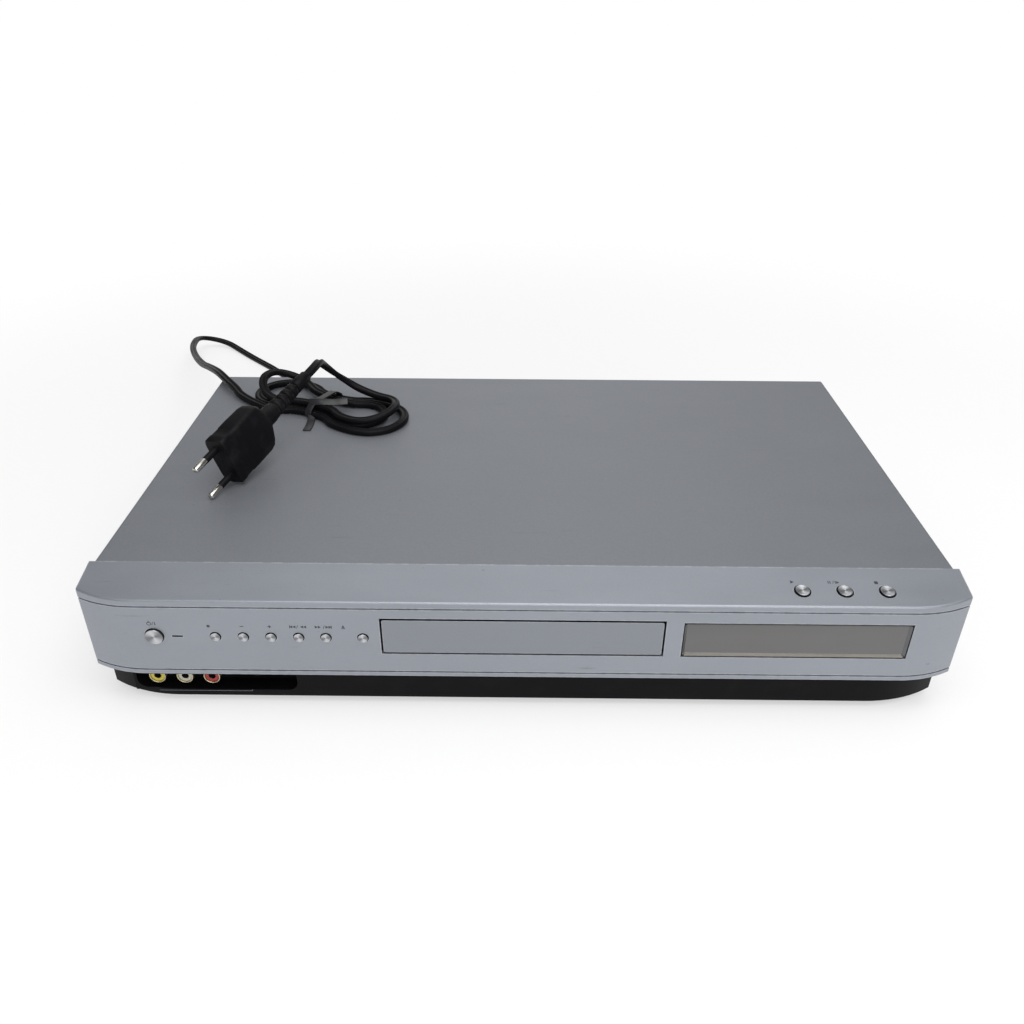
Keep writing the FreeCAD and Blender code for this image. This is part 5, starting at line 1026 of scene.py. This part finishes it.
def board_effect():
    """A circuit board seen along its own z, with copper tracks below and parts above its face."""
    tree, take, give = effect("circuit_board", METALLIC, Lacquer=(0.02, 0.12, 0.05), Gloss=0.35)
    vector = take["Vector"]
    part = add(tree, "SeparateXYZ", {0: vector}).outputs
    feeds = {"Vector": vector, "Scale": 95.0, "Randomness": 0.0}
    tracks = add(tree, "TexVoronoi", feeds, distance="CHEBYCHEV").outputs["Distance"]
    lines = calc(tree, "SINE", times(tree, part["X"], 2600.0))
    patch = steps(tree, noise(tree, vector, 60.0), 0.48, 0.52)
    copper = times(tree, steps(tree, lines, 0.2, 0.6), patch)
    pads = steps(tree, tracks, 0.12, 0.1)
    lacquer = blend(tree, times(tree, copper, 0.6), take["Lacquer"], (0.06, 0.26, 0.11))
    lacquer = blend(tree, pads, lacquer, (0.5, 0.5, 0.46))
    above = part["Z"]
    lifted = over(tree, above, 0.0028)
    low = blend(tree, lifted, (0.018, 0.018, 0.02), (0.55, 0.53, 0.47))
    tall = blend(tree, over(tree, above, 0.0116), low, (0.03, 0.04, 0.09))
    normal = add(tree, "NewGeometry").outputs["Normal"]
    facing = add(tree, "SeparateXYZ", {0: normal}).outputs["Z"]
    top = times(tree, over(tree, facing, 0.9), over(tree, above, 0.0116))
    parts = blend(tree, top, tall, (0.5, 0.5, 0.5))
    on_top = over(tree, above, 0.0001)
    grain = noise(tree, vector, 900.0)
    colour = blend(tree, on_top, lacquer, parts)
    colour = tinted(tree, colour, vary(tree, grain, 0.3, 1.0))
    bare_pads = times(tree, pads, calc(tree, "SUBTRACT", 1.0, on_top))
    metal = times(tree, calc(tree, "MAXIMUM", top, bare_pads), 0.8)
    rough = raised(tree, grain, 0.2, take["Gloss"])
    give(Colour=colour, Metal=metal, Roughness=rough, Height=raised(tree, copper, 0.6, grain))


class RECORDER_OT_inside(Operator):
    """Finishes the boards, the loader, the disc unit and the fan"""

    bl_idname = "recorder.inside"
    bl_label = "Inside"

    def execute(self, context):
        level = {"Location": (0.0, 0.0, -0.0136)}
        finish("circuit_board", "flat_board", 0.15, ["main_board", "power_board"], mapping=level)
        boards = {"control_board": -0.1254, "display_board": -0.1214, "front_jack_board": -0.1154}
        for name, front_y in boards.items():
            upright = {"Rotation": (-math.pi / 2, 0.0, 0.0), "Location": (0.0, 0.0, front_y)}
            tan = (0.16, 0.09, 0.03)
            finish("circuit_board", name + "_finish", 0.15, [name], mapping=upright, Lacquer=tan)
        plastics = {
            "loader_grey": ((0.06, 0.061, 0.064), 0.55, ("drive_frame", "traverse_frame")),
            "tray_grey": ((0.045, 0.046, 0.05), 0.38, ("disc_tray",)),
            "natural_nylon": (
                (0.62, 0.60, 0.53), 0.42, ("cam_slider", "tray_gear", "reduction_pulley", "motor_pulley")
            ),
            "clamp_white": ((0.6, 0.6, 0.58), 0.4, ("clamper", "turntable")),
            "pickup_black": ((0.014, 0.015, 0.02), 0.35, ("pickup",)),
            "fan_black": ((0.012, 0.012, 0.013), 0.5, ("fan_housing", "fan_rotor")),
            "belt_rubber": ((0.012, 0.012, 0.012), 0.75, ("loading_belt",)),
        }
        for name, (colour, gloss, nodes) in plastics.items():
            moulded(name, 0.2, nodes, Colour=colour, Gloss=gloss, Wear=0.12)
        plated(
            "ground_steel", 0.05, ["guide_rods", "lead_screw"], Colour=(0.56, 0.57, 0.58),
            Crystal_Scale=2000.0, Crystals=0.05, Gloss=0.2, Metallic=1.0
        )
        return {"FINISHED"}


# Stage


class RecorderStage(PropertyGroup):
    floor_colour: colour_setting("Floor", "Colour of the floor", (0.92, 0.92, 0.92))
    key_power: number_setting("Key light", "Power of the large lamp above", 16.0, unit="POWER")
    fill_power: number_setting("Fill light", "Power of the lamp at the front", 10.0, unit="POWER")
    ambient: number_setting("Ambient", "Strength of the light from all round", 0.55, subtype="FACTOR")
    side_walls: number_setting("Side walls", "Light of the room's sides in the paint", 0.12, subtype="FACTOR")


def lamp(name, place, aim, power, width, depth):
    data = bpy.data.lights.new(name, "AREA")
    data.shape = "RECTANGLE"
    data.size = width
    data.size_y = depth
    data.energy = power
    made = linked(name, data)
    made.location = place
    made.rotation_euler = (Vector(aim) - Vector(place)).to_track_quat("-Z", "Y").to_euler()


def seen_ray(tree):
    """One for a ray from the camera, or one that metal or glass sends on."""
    path = add(tree, "LightPath").outputs
    both = calc(tree, "MAXIMUM", path["Is Camera Ray"], path["Is Glossy Ray"])
    return calc(tree, "MAXIMUM", both, path["Is Transmission Ray"])


def floor_material(colour):
    """White paper that keeps the shadow near the object and runs into the white background."""
    material = bpy.data.materials.new("floor_paper")
    material.use_nodes = True
    tree = material.node_tree
    paper = tree.nodes["Principled BSDF"]
    place = add(tree, "TexCoord").outputs["Object"]
    fibres = steps(tree, noise(tree, place, 300.0, 3.0), 0.0, 1.0, 0.98)
    tree.links.new(tinted(tree, colour, fibres), paper.inputs["Base Color"])
    paper.inputs["Roughness"].default_value = 0.9
    reach = add(tree, "VectorMath", {0: place}, operation="LENGTH").outputs["Value"]
    share = times(tree, steps(tree, reach, 0.3, 0.8, 0.5), seen_ray(tree))
    white = add(tree, "Emission", {"Strength": 1.0})
    mixed = add(tree, "MixShader", {0: share, 1: paper.outputs[0], 2: white.outputs[0]})
    tree.links.new(mixed.outputs[0], tree.nodes["Material Output"].inputs["Surface"])
    return material


FLOOR_SIDE = 12.0
CAMERA_LENS = 31.727
CAMERA_TURN = (0.00646, math.pi / 2 - 0.55126, 0.00527)
CAMERA_PLACE = (-3.233, -340.753, TOP + 255.838)


class RECORDER_OT_stage(Operator):
    """Sets the camera, the pale floor, the lamps and the world"""

    bl_idname = "recorder.stage"
    bl_label = "Stage"

    def execute(self, context):
        settings = context.scene.recorder_stage
        camera_data = bpy.data.cameras.new("view_camera")
        camera_data.sensor_width = 36.0
        camera_data.lens = CAMERA_LENS
        camera_data.clip_start = 0.01
        camera = linked("view_camera", camera_data)
        camera.matrix_world = Matrix.Translation(at(*CAMERA_PLACE))
        for turn, axis in zip(CAMERA_TURN, "ZXZ"):
            camera.matrix_world = camera.matrix_world @ Matrix.Rotation(turn, 4, axis)
        context.scene.camera = camera
        work = bmesh.new()
        bar(work, 0.0, 0.0, FLOOR_SIDE, FLOOR_SIDE)
        mesh = mesh_from("floor", work)
        floor = linked("floor", mesh)
        mesh.materials.append(floor_material(settings.floor_colour))
        lamp("key_lamp", (0.25, -0.5, 1.5), (0.0, 0.0, 0.0), settings.key_power, 1.6, 1.2)
        lamp("front_lamp", (0.5, -1.7, 0.75), (0.05, 0.0, 0.03), settings.fill_power, 1.4, 0.8)
        world = bpy.data.worlds.new("studio")
        world.use_nodes = True
        tree = world.node_tree
        path = add(tree, "LightPath").outputs
        heading = add(tree, "TexCoord").outputs["Generated"]
        aside = add(tree, "SeparateXYZ", {0: heading}).outputs["X"]
        walls = steps(tree, calc(tree, "ABSOLUTE", aside), 0.05, 0.55, 1.0, settings.side_walls)
        mirrored = steps(tree, path["Is Glossy Ray"], 0.0, 1.0, 1.0, walls)
        level = steps(tree, seen_ray(tree), 0.0, 1.0, settings.ambient, mirrored)
        tree.links.new(level, tree.nodes["Background"].inputs["Strength"])
        tree.nodes["Background"].inputs["Color"].default_value = (1.0, 1.0, 1.0, 1.0)
        context.scene.world = world
        context.scene.view_settings.view_transform = "Standard"
        return {"FINISHED"}


OPERATORS = (
    RECORDER_OT_stage, RECORDER_OT_strap, RECORDER_OT_plug, RECORDER_OT_lead, RECORDER_OT_case,
    RECORDER_OT_keys, RECORDER_OT_marks, RECORDER_OT_window, RECORDER_OT_sockets, RECORDER_OT_inside,
)
GROUPS = {
    "recorder_stage": RecorderStage,
    "recorder_lead": RecorderLead,
    "recorder_case": RecorderCase,
    "recorder_keys": RecorderKeys,
    "recorder_sockets": RecorderSockets,
}


class RECORDER_PT_panel(Panel):
    """Lists the recorder's pieces and their settings"""

    bl_idname = "RECORDER_PT_panel"
    bl_label = "Disc recorder"
    bl_space_type = "VIEW_3D"
    bl_region_type = "UI"
    bl_category = "Recorder"

    def draw(self, context):
        for name, group in GROUPS.items():
            box = self.layout.box()
            for label in group.__annotations__:
                box.prop(getattr(context.scene, name), label)
        for operator in OPERATORS:
            self.layout.operator(operator.bl_idname)


def register():
    for item in (*GROUPS.values(), *OPERATORS, RECORDER_PT_panel):
        bpy.utils.register_class(item)
    for name, group in GROUPS.items():
        setattr(bpy.types.Scene, name, PointerProperty(type=group))


def unregister():
    for name in GROUPS:
        delattr(bpy.types.Scene, name)
    for item in (RECORDER_PT_panel, *reversed(OPERATORS), *reversed(GROUPS.values())):
        bpy.utils.unregister_class(item)


def main():
    register()
    for build in (paint_effect, mould_effect, metal_effect, spun_effect, rear_jack_effect, board_effect):
        build()
    for operator in OPERATORS:
        getattr(bpy.ops.recorder, operator.bl_idname.removeprefix("recorder."))()


if __name__ == "__main__":
    main()
